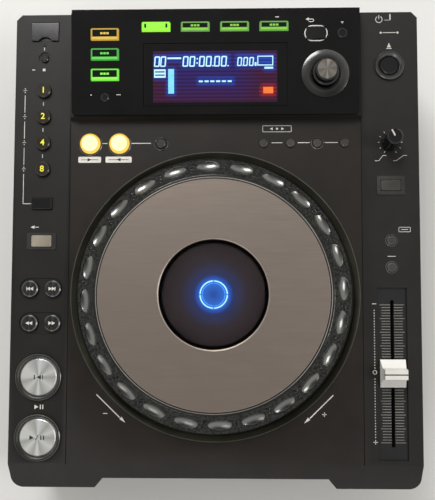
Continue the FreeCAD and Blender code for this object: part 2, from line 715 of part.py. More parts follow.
def make_base_tray():
    """The lower tray: floor, walls, lip inside the cover, pillars and the recessed connector plate."""
    outside = form("tray_outside", "tray_inset", "foot_height", "tray_top", False)
    inside = form("tray_inside", "tray_inset + tray_wall", FLOOR_TOP, "tray_top + 1", False)
    walls = cut("tray_walls", outside, inside)
    lip_out = form("lip_outside", "wall + gap", "tray_top - 4", "tray_top + tray_lip", False)
    lip_in = form("lip_inside", "wall + gap + 1.2", "tray_top - 5", "tray_top + tray_lip + 1", False)
    lip = cut("tray_lip_ring", lip_out, lip_in)
    span = ("tray_top - 6", "tray_top + tray_lip + 2")
    gaps = [box("lip_rear_gap", ("-rear_half - 1", "rear_half + 1"), (f"{REAR} - 10", f"{REAR} + 1"), span)]
    for k in (-1, 1):
        x = f"{k} * (notch_half + notch_run / 2)"
        gaps.append(middle_box(f"lip_break_{k + 1}", x, FRONT, "notch_run + 12", "24", span))
    gaps.append(middle_box("lip_front_gap", "0", FRONT, "2 * front_plate_half + 9", "24", span))
    lip = cut("tray_lip_open", lip, *gaps)
    plate = box("rear_plate", ("-rear_half", "rear_half"),
                (f"{REAR} - rear_recess - 1.5", f"{REAR} - rear_recess"),
                (f"{FLOOR_TOP} - 1", "rear_high"))
    cheeks = []
    reach = (f"{REAR} - rear_recess - 1.5", f"{REAR} - wall - gap")
    for side, low, high in (("left", "-rear_half - 1.5", "-rear_half + 0.2"),
                            ("right", "rear_half - 0.2", "rear_half + 1.5")):
        cheeks.append(box(f"rear_cheek_{side}", (low, high), reach, (f"{FLOOR_TOP} - 1", "rear_high")))
    pillars = []
    for k, (x, y) in enumerate(((-1, -1), (1, -1), (-1, 1), (1, 1))):
        pillars.append(rod(f"wheel_pillar_{k}", f"{x} * wheel_pillar_x", f"jog_y + {y} * wheel_pillar_y",
                           (f"{FLOOR_TOP} - 1", "carrier_height"), "4.5"))
        reach = f"{y} * (drive_length / 2 - drive_pillar_inset - 2)"
        drive_y = f"{FRONT} + drive_front + drive_length / 2 + {reach}"
        pillars.append(rod(f"drive_pillar_{k}", f"{x} * (drive_half - drive_pillar_inset)", drive_y,
                           (f"{FLOOR_TOP} - 1", "drive_low"), "5"))
        board_y = ("main_board_near - floor_pillar_inset", "main_board_far + floor_pillar_inset - 2")[y > 0]
        pillars.append(rod(f"board_pillar_{k}", f"{x} * floor_pillar_x", f"{REAR} - ({board_y})",
                           (f"{FLOOR_TOP} - 1", f"{FLOOR_TOP} + floor_pillar_height"), "4"))
    solid = fused("tray_solid", walls, lip, plate, *cheeks, *pillars)
    cuts = [box("rear_notch", ("-rear_half + 0.2", "rear_half - 0.2"),
                (f"{REAR} - rear_recess", f"{REAR} + 1"), ("rear_low", "rear_high + 1"))]
    through = ("foot_height - 1", f"{FLOOR_TOP} + 1")
    for side in (-1, 1):
        for row in (-1, 0, 1):
            for k in range(5):
                x, y = f"{side} * vent_x + ({k} - 2) * vent_pitch", f"{row} * vent_row_pitch"
                cuts.append(middle_box(f"vent_{side + 1}_{row + 1}_{k}", x, y, "vent_width", "vent_length",
                                       through))
    cuts.append(middle_box("mains_hole", "mains_x", f"{REAR} - rear_recess - 1", "mains_width + 4", "8",
                           ("jack_height - mains_height / 2 - 2", "jack_height + mains_height / 2 + 2")))
    cuts.append(middle_box("link_hole", "link_x", f"{REAR} - rear_recess - 1", "link_size + 3.2", "8",
                           ("jack_height - link_size / 2 - 1.6", "jack_height + link_size / 2 + 1.6")))
    cuts.append(middle_box("power_hole", "power_x", f"{REAR} - rear_recess - 1", "power_size + 2 * gap", "8",
                           ("jack_height - power_size / 2 - gap", "jack_height + power_size / 2 + gap")))
    for k in range(3):
        cuts.append(jack_rod(f"jack_hole_{k}", k, "jack_collar - 1.2", "-6", "2"))
    return cut("base_tray", solid, *cuts)


JACK_X = ["jack_x", "jack_x + jack_pitch", "control_x"]


def jack_rod(name, k, radius, near, far):
    """A cylinder along Y at one of the round sockets, measured from the connector plate's face."""
    item = doc.addObject("Part::Cylinder", name)
    bind(item, Radius=radius, Height=f"({far}) - ({near})")
    item.Placement = Placement(Vector(), Rotation(Vector(1, 0, 0), -90))
    return place(item, JACK_X[k], f"{REAR} - rear_recess + ({near})", "jack_height")


def make_rear_jacks():
    """Two audio sockets, a control socket, the square data port and the mains inlet, each a solid."""
    pieces = []
    for k in range(3):
        reach = "jack_length" if k < 2 else "3.5"
        collar = jack_rod(f"jack_flange_{k}", k, "jack_collar", "0", "1.4")
        barrel = jack_rod(f"jack_barrel_{k}", k, "jack_radius", "-8", reach)
        bore = jack_rod(f"jack_bore_{k}", k, "jack_pin_radius", "-6", "10")
        pieces.append(cut(f"jack_{k}", fused(f"jack_solid_{k}", collar, barrel), bore))
    y = f"{REAR} - rear_recess"
    case = box("mains_case", around("mains_x", "mains_width", 1.9), (f"{y} - mains_depth", f"{y} + 0.1"),
               around("jack_height", "mains_height", 1.9))
    lip = box("mains_lip", around("mains_x", "mains_width", 4.5), (y, f"{y} + 2"),
              around("jack_height", "mains_height", 4.5))
    mouth = box("mains_mouth", around("mains_x", "mains_width"), (f"{y} - mains_depth + 2", f"{y} + 3"),
                around("jack_height", "mains_height"))
    blades = []
    for side in (-1, 1):
        blade = around(f"mains_x + {side} * 4.2", "1")
        blades.append(box(f"mains_blade_{side + 1}", blade, (f"{y} - mains_depth + 1", f"{y} - 4"),
                          around("jack_height", "2.4")))
    pieces.append(fused("mains_inlet", cut("mains_shell", fused("mains_solid", case, lip), mouth), *blades))
    port = middle_box("link_case", "link_x", f"{y} - 6", "link_size + 3", "14.4",
                      around("jack_height", "link_size", 1.5))
    hole = middle_box("link_mouth", "link_x", f"{y} - 3", "link_size", "12",
                      around("jack_height", "link_size"))
    tongue = middle_box("link_tongue", "link_x", f"{y} - 8.5", "link_size - 3.6", "8",
                        around("jack_height", "2.8"))
    pieces.append(fused("link_port", cut("link_shell", port, hole), tongue))
    return group("rear_jacks", *pieces)


def make_power_button():
    """The latching mains switch's push piece, in its hole of the connector plate."""
    y = f"{REAR} - rear_recess"
    cap = middle_box("power_cap", "power_x", f"{y} - 0.5", "power_size", "9",
                     around("jack_height", "power_size"))
    back = middle_box("power_flange", "power_x", f"{y} - 1.5 - gap - 1.1", "power_size + 3", "2.2",
                      around("jack_height", "power_size", 1.5))
    return fused("power_button", cap, back)


def make_feet():
    """Four rubber feet, each with a neck in the tray's floor."""
    feet = []
    for k, (x, y) in enumerate(((-1, -1), (1, -1), (-1, 1), (1, 1))):
        foot = revolved(f"foot_{k}", [("0", "0"), ("foot_radius - 1.5", "0"), ("foot_radius", "1.5"),
                                      ("foot_radius", "foot_height"), ("0", "foot_height")])
        feet.append(place(foot, f"{x} * (body_width / 2 - foot_inset_x)",
                          f"{y} * (body_depth / 2 - foot_inset_y)", "0"))
    return group("feet", *feet)


# Trim rings: name, place, outer radius, radius of the button inside and rise
RINGS = [
    ("cue_ring", "transport_x", "cue_y", "transport_ring", "transport_radius", "ring_rise"),
    ("play_ring", "transport_x", "play_y", "transport_ring", "transport_radius", "ring_rise"),
    ("eject_trim", "right_x", "eject_y", "eject_ring", "eject_radius", "ring_rise"),
    ("in_ring", "in_x", "row_y", "loop_radius + 1.8", "loop_radius", "small_ring_rise"),
    ("out_ring", "out_x", "row_y", "loop_radius + 1.8", "loop_radius", "small_ring_rise"),
    ("reloop_ring", "reloop_x", "row_y", "reloop_radius + 2", "reloop_radius", "small_ring_rise"),
    ("delete_ring", "delete_x", "row_y", "small_ring", "small_radius", "small_ring_rise"),
    ("range_ring", "right_x", "range_y", "tempo_radius + 1.1", "tempo_radius", "small_ring_rise"),
    ("master_ring", "right_x", "master_y", "tempo_radius + 1.1", "tempo_radius", "small_ring_rise"),
]

# Raised frames round two buttons: name, place, size of the button and width of the frame both ways
FRAMES = [
    ("turn_frame", "left_x", "turn_y", "turn_width", "turn_depth", "turn_frame_x", "turn_frame_y"),
    ("mode_frame", "right_x", "jog_mode_y", "jog_mode_width", "jog_mode_depth", "jog_mode_frame",
     "jog_mode_frame"),
]


def make_trim_rings():
    """Raised rings round the larger buttons, sloping down to the button inside, and two raised frames."""
    pieces = []
    for name, x, y, outer, inner, rise in RINGS:
        hole = f"{inner} + button_gap"
        ring = revolved(name, [
            (hole, "-ring_seat"), (outer, "-ring_seat"), (outer, f"{rise} - 0.4"), (f"{outer} - 0.5", rise),
            (f"{outer} - ({outer} - {hole}) * 0.45", rise), (hole, "0")])
        pieces.append(place(ring, x, y, "deck_height"))
    for name, x, y, width, depth, frame_x, frame_y in FRAMES:
        wide, deep = f"{width} + 2 * {frame_x}", f"{depth} + 2 * {frame_y}"
        solid = block(name + "_solid", wide, deep, "0", "small_ring_rise", "1.2")
        hole = middle_box(name + "_hole", "0", "0", f"{width} + 2 * button_gap", f"{depth} + 2 * button_gap",
                          ("-1", "2"))
        pieces.append(place(cut(name, solid, hole), x, y, "deck_height"))
    return group("trim_rings", *pieces)


# Jog wheel
def make_jog_bezel():
    """The fixed sloping ring that the wheel sits in."""
    inner, outer = "bezel_inner", "bezel_radius"
    neck, ledge = f"{outer} - gap - 0.02", "-skin - gap - 1"
    bezel = revolved("jog_bezel", [
        (inner, "-bezel_depth"), (f"{inner} + 2", "-bezel_depth"), (f"{inner} + 2", ledge),
        (f"{outer} + 3", ledge),
        (f"{outer} + 3", "-skin - 0.02"), (neck, "-skin - 0.02"), (neck, "0.4"), (f"{outer} - 1", "0.4"),
        (inner, "-bezel_drop")])
    return place(bezel, "0", "jog_y", "deck_height")


def make_jog_ring():
    """The wheel's moulded ring: skirt, dimpled grip, web and hub round the fixed post."""
    shoulder, top = "wheel_shoulder_rise", "wheel_top_rise"
    seat = "(platter_rise - platter_thick)"
    wheel = revolved("wheel_turning", [
        ("post_radius + running_gap", "web_rise - 8"), ("post_radius + hub_wall", "web_rise - 8"),
        ("post_radius + hub_wall", "web_rise"), ("wheel_radius - wheel_wall", "web_rise"),
        ("wheel_radius - wheel_wall", "-wheel_skirt"), ("wheel_radius", "-wheel_skirt"),
        ("wheel_radius", "2"),
        ("wheel_shoulder", shoulder), ("platter_seat + 1.2", top), ("platter_seat", top),
        ("platter_seat", seat),
        ("platter_seat - 14", seat), ("platter_seat - 14", f"{seat} - 2"),
        ("platter_seat - 2", f"{seat} - 4"),
        ("wheel_shoulder - wheel_wall", f"{shoulder} - 4"),
        ("wheel_radius - wheel_wall", "web_rise + web_thick"),
        ("post_radius + running_gap", "web_rise + web_thick")])
    low_radius, low_rise = size("wheel_shoulder"), size("wheel_shoulder_rise")
    high_radius, high_rise = size("platter_seat") + 1.2, size("wheel_top_rise")
    lean = math.degrees(math.atan2(high_rise - low_rise, low_radius - high_radius))
    middle = Vector((low_radius + high_radius) / 2, 0, (low_rise + high_rise) / 2)
    count = int(size("dimple_count"))
    dimples = []
    for k in range(count):
        dimple = doc.addObject("Part::Ellipsoid", f"dimple_{k}")
        bind(dimple, Radius1="dimple_radius", Radius2="dimple_width / 2 / 0.8",
             Radius3="dimple_length / 2 / 0.8")
        spin = Rotation(Vector(0, 0, 1), 90 + size("dimple_turn") + k * 360 / count)
        out = Vector(math.sin(math.radians(lean)), 0, math.cos(math.radians(lean))) * size("dimple_lift")
        dimple.Placement = Placement(spin.multVec(middle + out), spin * Rotation(Vector(0, 1, 0), lean))
        dimples.append(dimple)
    return place(cut("jog_ring", wheel, *dimples), "0", "jog_y", "deck_height")


def make_jog_platter():
    """The brushed metal plate that the hand rests on, with its seat for the window."""
    top, under = "platter_rise", "(platter_rise - platter_thick)"
    ledge = f"({top} - window_sink - window_thick)"
    platter = revolved("jog_platter", [
        ("window_radius - 2.5", under), ("platter_radius", under), ("platter_radius", f"{top} - 0.5"),
        ("platter_radius - 0.5", top), ("window_radius + gap + 0.6", top),
        ("window_radius + gap / 2", f"{top} - 0.5"),
        ("window_radius + gap / 2", ledge), ("window_radius - 2.5", ledge)])
    return place(platter, "0", "jog_y", "deck_height")


def make_jog_window():
    """The clear disc over the wheel's display, turning with the plate."""
    window = doc.addObject("Part::Cylinder", "jog_window")
    bind(window, Radius="window_radius", Height="window_thick")
    return place(window, "0", "jog_y", "deck_height + platter_rise - window_sink - window_thick")


def make_jog_post():
    """The fixed carrier plate with ribs and the hollow post that the wheel turns on."""
    plate = rod("carrier_plate", "0", "jog_y", ("carrier_height", "carrier_height + carrier_thick"),
                "carrier_radius")
    top = "deck_height + platter_rise - window_sink - window_thick - display_sink - display_thick"
    post = rod("carrier_post", "0", "jog_y", ("carrier_height", top), "post_radius")
    foot = rod("carrier_foot", "0", "jog_y", ("carrier_height", "carrier_height + 8"), "post_radius + 8")
    bore = rod("carrier_bore", "0", "jog_y", ("carrier_height - 1", f"{top} + 1"), "post_radius - 4")
    windows = []
    for k in range(6):
        hole = doc.addObject("Part::Cylinder", f"carrier_window_{k}")
        bind(hole, Radius="carrier_radius * 0.17", Height="carrier_thick + 2")
        angle = math.radians(60 * k)
        x = f"carrier_radius * 0.58 * {math.cos(angle):.4f}"
        y = f"jog_y + carrier_radius * 0.58 * {math.sin(angle):.4f}"
        place(hole, x, y, "carrier_height - 1")
        windows.append(hole)
    return cut("jog_post", fused("carrier_solid", plate, post, foot), bore, *windows)


def make_jog_display():
    """The round lit display on top of the post."""
    low = "deck_height + platter_rise - window_sink - window_thick - display_sink - display_thick"
    face = rod("jog_display", "0", "jog_y", (low, f"{low} + display_thick"), "display_radius")
    return face


# Display panel
def make_display_panel():
    """The gloss plate over the hump, with its holes and the opening for the screen."""
    body = body_named("panel_plate")
    half = "(hump_half - hump_draft)"
    corners = [(f"-{half}", "0.3"), (half, "0.3"), (half, "panel_length"), (f"-{half}", "panel_length")]
    item = pad(body, outline(body, "XY_Plane", corners, "-panel_thick"), "panel_thick")
    item = rounded(body, item, "panel_radius", upright)
    on_panel(body, "0", "0")
    through = ("0", "panel_thick + 4")
    holes = []
    for name, x, along, width, depth in PANEL_BUTTONS:
        wide, deep = f"{width} + 2 * button_gap", f"{depth} + 2 * button_gap"
        hole = box(name + "_slot", ("0", wide), ("0", deep), through)
        holes.append(on_panel_low(hole, f"{x} - ({wide}) / 2", f"{along} - ({deep}) / 2"))
    for name, x, along, radius in PANEL_ROUND:
        hole = rod(name + "_slot", "0", "0", through, f"{radius} + button_gap")
        holes.append(on_panel_low(hole, x, along))
    shaft_hole = rod("selector_slot", "0", "0", through, "shaft_radius + gap")
    holes.append(on_panel_low(shaft_hole, "selector_x", "selector_along"))
    screen = box("screen_slot", ("0", "window_right - window_left"), ("0", "window_far - window_near"),
                 through)
    holes.append(on_panel_low(screen, "window_left", "window_near"))
    return cut("display_panel", body, *holes)


def on_panel_low(item, x, along):
    """Places a cutter so that it starts two millimetres under the panel's plate."""
    return on_panel(item, x, along, "-panel_thick - 2")


def make_display_module():
    """The screen: glass in the panel's opening, its case, and the lugs that hold it under the plate."""
    wide, deep = "window_right - window_left", "window_far - window_near"
    glass = box("module_glass", ("0", f"{wide} - 2 * gap"), ("0", f"{deep} - 2 * gap"), ("0", "panel_thick"))
    on_panel(glass, "window_left + gap", "window_near + gap", "-panel_thick - 0.2")
    case = box("module_case", ("0", f"{wide} + 6"), ("0", f"{deep} + 6"), ("0", "module_depth"))
    on_panel(case, "window_left - 3", "window_near - 3", "-panel_thick - 0.2 - module_depth")
    return fused("display_module", glass, case)


def make_selector():
    """The push shaft, its fluted knob and the ring round them."""
    stem_end = "-panel_board_drop + switch_rise + button_travel + button_gap"
    low = "-panel_thick - button_gap"
    shaft = revolved("selector_shaft", [
        ("0", stem_end), ("shaft_radius + flange", stem_end), ("shaft_radius + flange", low),
        ("shaft_radius", low),
        ("shaft_radius", "selector_rise - 2.5"), ("0", "selector_rise - 2.5")])
    on_panel(shaft, "selector_x", "selector_along")
    radius = "selector_radius"
    foot = "button_travel + 1.6"
    knob = revolved("knob_turning", [
        ("shaft_radius + running_gap", foot), (f"{radius} + 1.2", foot),
        (f"{radius} + 1.2", "button_travel + 3"),
        (radius, "button_travel + 4"), (radius, "selector_rise - 1"), (f"{radius} - 1", "selector_rise"),
        ("0", "selector_rise"),
        ("0", "selector_rise - 2.4"), ("shaft_radius + running_gap", "selector_rise - 2.4")])
    flutes = []
    count = int(size("selector_flutes"))
    for k in range(count):
        flute = doc.addObject("Part::Cylinder", f"flute_{k}")
        bind(flute, Radius="0.55", Height="selector_rise")
        angle = math.tau * k / count
        far = "(selector_radius + 0.18)"
        place(flute, f"{far} * {math.cos(angle):.5f}", f"{far} * {math.sin(angle):.5f}",
              "button_travel + 4.2")
        flutes.append(flute)
    fluted = cut("selector_knob", knob, *flutes)
    on_panel(fluted, "selector_x", "selector_along")
    return shaft, fluted


def make_selector_ring():
    """The sloping ring round the selector, which stands on the panel."""
    ring = revolved("selector_ring_form", [
        ("selector_well", "0.02"), ("selector_ring", "0.02"), ("selector_ring", "0.6"),
        ("selector_ring - 3", "1.5"), ("selector_well + 1", "1.5"), ("selector_well", "1")])
    return on_panel(ring, "selector_x", "selector_along")


# Right column
def make_speed_knob():
    """The small tapered knob on its shaft."""
    rise = "speed_rise"
    knob = revolved("speed_turning", [
        ("0", "-board_drop + 6.3"), ("shaft_radius", "-board_drop + 6.3"), ("shaft_radius", "speed_turn_gap"),
        ("speed_radius", "speed_turn_gap"), ("speed_radius", "2"), ("speed_top", f"{rise} - 1"),
        ("speed_top - 1", rise), ("0", rise)])
    place(knob, "right_x", "speed_y", "deck_height")
    line = middle_box("speed_line", "right_x", "speed_y + speed_top", "0.9", "3",
                      (f"deck_height + {rise} - 6", f"deck_height + {rise} + 1"))
    return cut("speed_knob", knob, line)


def make_fader():
    """The fader's plate with its slot and the housing under it, and the sliding cap."""
    sunk = "deck_height - fader_sink"
    under = f"{sunk} - fader_thick"
    floor = f"{sunk} - fader_track_drop"
    x, y = "fader_x", "fader_y"
    plate = middle_box("fader_sheet", x, y, "fader_width", "fader_length", (f"{under} + 0.02", sunk))
    slot = middle_box("fader_slot_cut", x, y, "fader_slot", "2 * fader_travel + fader_stem + 5",
                      (f"{sunk} - 10", f"{sunk} + 1"))
    case = middle_box("fader_case", x, y, "11", "2 * fader_travel + 18", (floor, f"{under} - 0.6"))
    track = middle_box("fader_track", x, y, "7", "2 * fader_travel + 12", (f"{floor} + 2", f"{under} - 2.2"))
    lugs = []
    for side in (-1, 1):
        lugs.append(middle_box(f"fader_lug_{side + 1}", x, f"{y} + {side} * (fader_travel + 7.5)", "6", "4",
                               (f"{under} - 1", f"{under} + 0.1")))
    plate = cut("fader_plate", fused("fader_solid", plate, case, *lugs), slot, track)
    cap_low = f"{sunk} + 0.8"
    brow = "fader_ridge_length / 2 + 1"
    base = doc.addObject("Part::Wedge", "fader_cap_base")
    bind(base, Ymin="0", Ymax="fader_cap_rise", Xmin="-fader_cap_width / 2", Xmax="fader_cap_width / 2",
         Zmin="-fader_cap_length / 2", Zmax="fader_cap_length / 2",
         X2min="-fader_cap_width / 2 + 0.8", X2max="fader_cap_width / 2 - 0.8",
         Z2min=f"-({brow})", Z2max=brow)
    base.Placement = Placement(Vector(), Rotation(Vector(1, 0, 0), 90))
    place(base, x, y, cap_low)
    ridge = doc.addObject("Part::Wedge", "fader_cap_ridge")
    bind(ridge, Ymin="0", Ymax="fader_ridge_rise - fader_cap_rise + 1", Xmin="-fader_cap_width / 2 + 0.8",
         Xmax="fader_cap_width / 2 - 0.8", Zmin=f"-({brow})", Zmax=brow, X2min="-fader_cap_width / 2 + 1.2",
         X2max="fader_cap_width / 2 - 1.2", Z2min="-fader_ridge_length / 2", Z2max="fader_ridge_length / 2")
    ridge.Placement = Placement(Vector(), Rotation(Vector(1, 0, 0), 90))
    place(ridge, x, y, f"{cap_low} + fader_cap_rise - 1")
    stem = middle_box("fader_cap_stem", x, y, "fader_slot - 0.6", "fader_stem + 2",
                      (f"{floor} + 5", f"{cap_low} + 1"))
    shoe = middle_box("fader_cap_shoe", x, y, "6", "6", (f"{floor} + 2.6", f"{floor} + 6"))
    mark = middle_box("fader_cap_line", x, y, "fader_cap_width", "0.8",
                      (f"{cap_low} + fader_ridge_rise - 0.5", f"{cap_low} + fader_ridge_rise + 1"))
    return plate, cut("fader_cap", fused("fader_cap_solid", base, ridge, stem, shoe), mark)


# Memory stick port
def make_usb():
    """The upright port and the hinged flap over it."""
    low = f"{SKIN_UNDER} - port_depth"
    top = "deck_height + flap_rise - flap_thick - gap - 0.4"
    x, y = "port_x", "port_y - 1"
    wide, deep = "port_width + 2 * port_wall", "port_throat + 2 * port_wall"
    case = middle_box("port_case", x, y, wide, deep, (low, top))
    mouth = middle_box("port_mouth", x, y, "port_width", "port_throat", (f"{low} + 2", f"{top} + 1"))
    tongue = middle_box("port_tongue", x, f"{y} + port_throat / 2 - 0.55", "port_width - 1", "1.2",
                        (f"{low} + 1", f"{top} - 6"))
    collar = middle_box("port_collar", x, y, f"{wide} + 4", f"{deep} + 4",
                        (f"{SKIN_UNDER} - 1.8", f"{SKIN_UNDER} - 0.3"))
    port = fused("usb_port", cut("port_shell", fused("port_solid", case, collar), mouth), tongue)
    mid = "deck_height + flap_rise - flap_thick / 2"
    axis_y = "port_y + flap_length / 2 - flap_thick / 2"
    leaf = box("flap_leaf", around("port_x", "flap_width"), ("port_y - flap_length / 2", axis_y),
               around(mid, "flap_thick"))
    barrel = doc.addObject("Part::Cylinder", "flap_barrel")
    bind(barrel, Radius="flap_thick / 2", Height="flap_width")
    barrel.Placement = Placement(Vector(), Rotation(Vector(0, 1, 0), 90))
    place(barrel, "port_x - flap_width / 2", axis_y, mid)
    notch = rod("flap_notch", "port_x", "port_y - flap_length / 2 - 3.2",
                (f"{mid} - 0.2", "deck_height + flap_rise + 1"), "6")
    return port, cut("usb_cover", fused("flap_solid", leaf, barrel), notch)


# Circuit boards under the buttons and on the floor. A chip has a place across, a run from the board's rear
# edge and a side. A block of the power supply also has a depth and a height.
CHIPS = ((10, 36, 20), (44, 42, 24), (72, 24, 14), (30, 12, 12))
SUPPLY_BLOCKS = ((-62, 54, 26, 24, 20), (-40, 32, 14, 14, 16), (-84, 30, 12, 18, 14))


def board_rooms(low, top):
    """Cutters that leave room in the side boards for the fader's case and for the memory stick port."""
    z = (f"{low} - 2", f"{top} + 1")
    return {
        "right": middle_box("fader_room", "fader_x", "fader_y", "12", "2 * fader_travel + 19", z),
        "left": middle_box("port_room", "port_x", "port_y - 1", "port_width + 2 * port_wall + 1",
                           "port_throat + 2 * port_wall + 1", z),
    }


def make_button_boards():
    """Three boards under the deck, each with a small switch under every button of its column or row."""
    top, low = BOARD_TOP, f"({BOARD_TOP} - board_thick)"
    side_y = "(board_front_run - board_rear_run) / 2"
    side_length = "body_depth - board_front_run - board_rear_run"
    places = {"left": ("left_x", side_y, "board_width", side_length),
              "right": ("right_x", side_y, "board_width", side_length),
              "row": ("3", "row_y + 5.5", "deck_width - 3.2", "18")}
    switches = {"left": [], "right": [], "row": []}
    for name, x, y, *rest in button_places() + BLOCK_BUTTONS:
        where = "row" if y == "row_y" else "right" if x == "right_x" else "left"
        switches[where].append((name, x, y))
    rooms = board_rooms(low, top)
    boards = []
    for where, (x, y, width, depth) in places.items():
        parts = [middle_box(f"board_{where}", x, y, width, depth, (low, top))]
        for name, sx, sy in switches[where]:
            parts.append(middle_box(name + "_switch", sx, sy, "switch_size", "switch_size",
                                    (f"{top} - 0.2", f"deck_height + {SWITCH_TOP}")))
        if where == "right":
            parts.append(middle_box("speed_pot", "right_x", "speed_y", "10", "10",
                                    (f"{top} - 0.2", "deck_height - board_drop + 6")))
        board = fused(where + "_board", *parts)
        boards.append(cut(where + "_board_cut", board, rooms[where]) if where in rooms else board)
    return boards


def make_panel_board():
    """The board under the display panel, with its switches and the posts that hold it."""
    board = box("panel_board_sheet", ("0", "2 * hump_half - 24"), ("0", "panel_length - 12.5"),
                ("0", "board_thick"))
    on_panel(board, "-hump_half + 12", "7", "-panel_board_drop - board_thick")
    parts = [board]
    for name, x, along, *rest in PANEL_BUTTONS + PANEL_ROUND + [("selector", "selector_x", "selector_along")]:
        switch = box(name + "_switch", ("0", "switch_size"), ("0", "switch_size"), ("0", "switch_rise + 0.2"))
        parts.append(on_panel(switch, f"{x} - switch_size / 2", f"{along} - switch_size / 2",
                              "-panel_board_drop - 0.2"))
    for side in (-1, 1):
        for k, along in enumerate(("10", "panel_length - 9")):
            post = doc.addObject("Part::Cylinder", f"panel_post_{side + 1}_{k}")
            bind(post, Radius="boss_radius", Height="panel_board_drop - panel_thick - gap + 0.2")
            parts.append(on_panel(post, f"{side} * (hump_half - 16)", along, "-panel_board_drop - 0.2"))
    return fused("panel_board", *parts)


def make_boards():
    """The control boards, the main board and the power supply."""
    boards = make_button_boards() + [make_panel_board()]
    floor = f"({FLOOR_TOP} + floor_pillar_height + 0.02)"
    run = (f"{REAR} - main_board_near", f"{REAR} - main_board_far")
    main = box("main_sheet", ("-20", "96"), run, (floor, f"{floor} + board_thick"))
    chips = [middle_box(f"chip_{k}", f"{x}", f"{REAR} - main_board_far - {back}", f"{side}", f"{side}",
                        (f"{floor} + board_thick - 0.1", f"{floor} + board_thick + 2"))
             for k, (x, back, side) in enumerate(CHIPS)]
    boards.append(fused("main_board", main, *chips))
    supply = box("supply_sheet", ("-96", "-26"), (run[0], f"{run[1]} - 12"),
                 (floor, f"{floor} + board_thick"))
    blocks = [middle_box(f"supply_{k}", f"{x}", f"{REAR} - main_board_far - {back}", f"{wide}", f"{deep}",
                         (f"{floor} + board_thick - 0.1", f"{floor} + board_thick + {tall}"))
              for k, (x, back, wide, deep, tall) in enumerate(SUPPLY_BLOCKS)]
    boards.append(fused("power_supply", supply, *blocks))
    return group("circuit_boards", *boards)


# Slot-in disc drive
def make_drive():
    """The drive's base tray with its motor, the cover over it and the disc hub."""
    near, far = f"({FRONT} + drive_front)", f"({FRONT} + drive_front + drive_length)"
    side = ("-drive_half", "drive_half")
    base = box("drive_solid", side, (near, far), ("drive_low", "drive_low + drive_rise - drive_sheet - 0.02"))
    room = box("drive_room", ("-drive_half + drive_sheet", "drive_half - drive_sheet"),
               (f"{near} - 1", f"{far} - drive_sheet"),
               ("drive_low + drive_sheet", "drive_low + drive_rise + 1"))
    motor = rod("motor_can", "0", "disc_y", ("drive_low + drive_sheet - 0.1", "slot_height - 6.5"),
                "motor_radius")
    bore = rod("motor_bore", "0", "disc_y", ("drive_low + drive_sheet + 0.6", "slot_height"),
               "spindle_radius + running_gap")
    rails = [box(f"sled_rail_{k}", (f"{x} - 1", f"{x} + 1"),
                 ("disc_y + motor_radius + 3", f"{far} - drive_sheet + 0.1"),
                 ("drive_low + drive_sheet - 0.1", "drive_low + drive_sheet + 2.5")) for k,
                 x in enumerate((-24, 24))]
    drive = cut("drive_base", fused("drive_parts", cut("drive_tray", base, room), motor, *rails), bore)
    lid = box("lid_sheet", side, (near, far), ("drive_low + drive_rise - drive_sheet",
                                               "drive_low + drive_rise"))
    rib = middle_box("lid_rib", "0", f"({near} + {far}) / 2", "drive_half", "drive_length * 0.5",
                     ("drive_low + drive_rise - 0.1", "drive_low + drive_rise + 1.4"))
    clamp = rod("clamp_ring", "0", "disc_y",
                ("slot_height + slot_open / 2 + 0.3", "drive_low + drive_rise - drive_sheet + 0.1"),
                "hub_radius")
    cover = fused("drive_cover", lid, rib, clamp)
    foot, seat, top = "drive_low + drive_sheet + 0.8", "slot_height - 4.6", "slot_height - 3.2"
    hub = revolved("disc_hub", [
        ("0", foot), ("spindle_radius", foot), ("spindle_radius", "slot_height - 6.1"),
        ("hub_radius", "slot_height - 6.1"), ("hub_radius", seat), ("7.4", seat), ("6", top), ("0", top)])
    place(hub, "0", "disc_y", "0")
    return drive, cover, hub


def make_front_panel():
    """The front plate with the disc slot, held by a flange behind the cover's wall."""
    plate = box("front_sheet", ("-front_plate_half + gap", "front_plate_half - gap"),
                (FRONT, f"{FRONT} + wall + 0.4"),
                ("front_plate_low + gap", "front_plate_high - gap"))
    flange = box("front_flange", ("-front_plate_half - 2.5", "front_plate_half + 2.5"),
                 (f"{FRONT} + wall + 0.3", f"{FRONT} + wall + 1.8"),
                 ("front_plate_low - 2.5", "front_plate_high + 2.5"))
    slot = box("disc_slot", around("0", "slot_width"), (f"{FRONT} - 1", f"{FRONT} + wall + 3"),
               around("slot_height", "slot_open"))
    return cut("front_panel", fused("front_solid", plate, flange), slot)


# Build and write every piece
pieces = make_buttons()
pieces += [make_top_cover(), make_base_tray(), make_rear_jacks(), make_power_button(), make_feet()]
rings = make_trim_rings()
rings.Links = rings.Links + [make_selector_ring()]
pieces += [rings, make_jog_bezel(), make_jog_ring(), make_jog_platter(), make_jog_window(), make_jog_post(),
           make_jog_display()]
pieces += [make_display_panel(), make_display_module(), *make_selector(), make_speed_knob(), *make_fader(),
           *make_usb()]
pieces += [make_boards(), *make_drive(), make_front_panel()]
for piece in pieces:
    piece.Label = piece.Name
doc.recompute()

for item in doc.Objects:
    if "Invalid" in item.State or "Error" in item.State:
        raise SystemExit(f"{item.Name} failed: {item.State}")
os.makedirs("parts", exist_ok=True)
for piece in pieces:
    if piece.Shape.isNull() or not piece.Shape.isValid():
        raise SystemExit(f"{piece.Label} has no valid shape")
    piece.Shape.exportStep(f"parts/{piece.Label}.step")
    print(piece.Label, "solids", len(piece.Shape.Solids), "volume", round(piece.Shape.Volume, 1))
print(len(pieces), "pieces")
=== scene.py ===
# %% [markdown]
# # A tabletop disc player
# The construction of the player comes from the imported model. This lesson gives it its looks: a finish for
# every surface, the dimpled grip of the wheel, the lit displays, and the printed lines and figures.
# Everything is in metres, in the frame of the construction: +Z is up and +Y points to the rear.
# %% Load the frame
import math

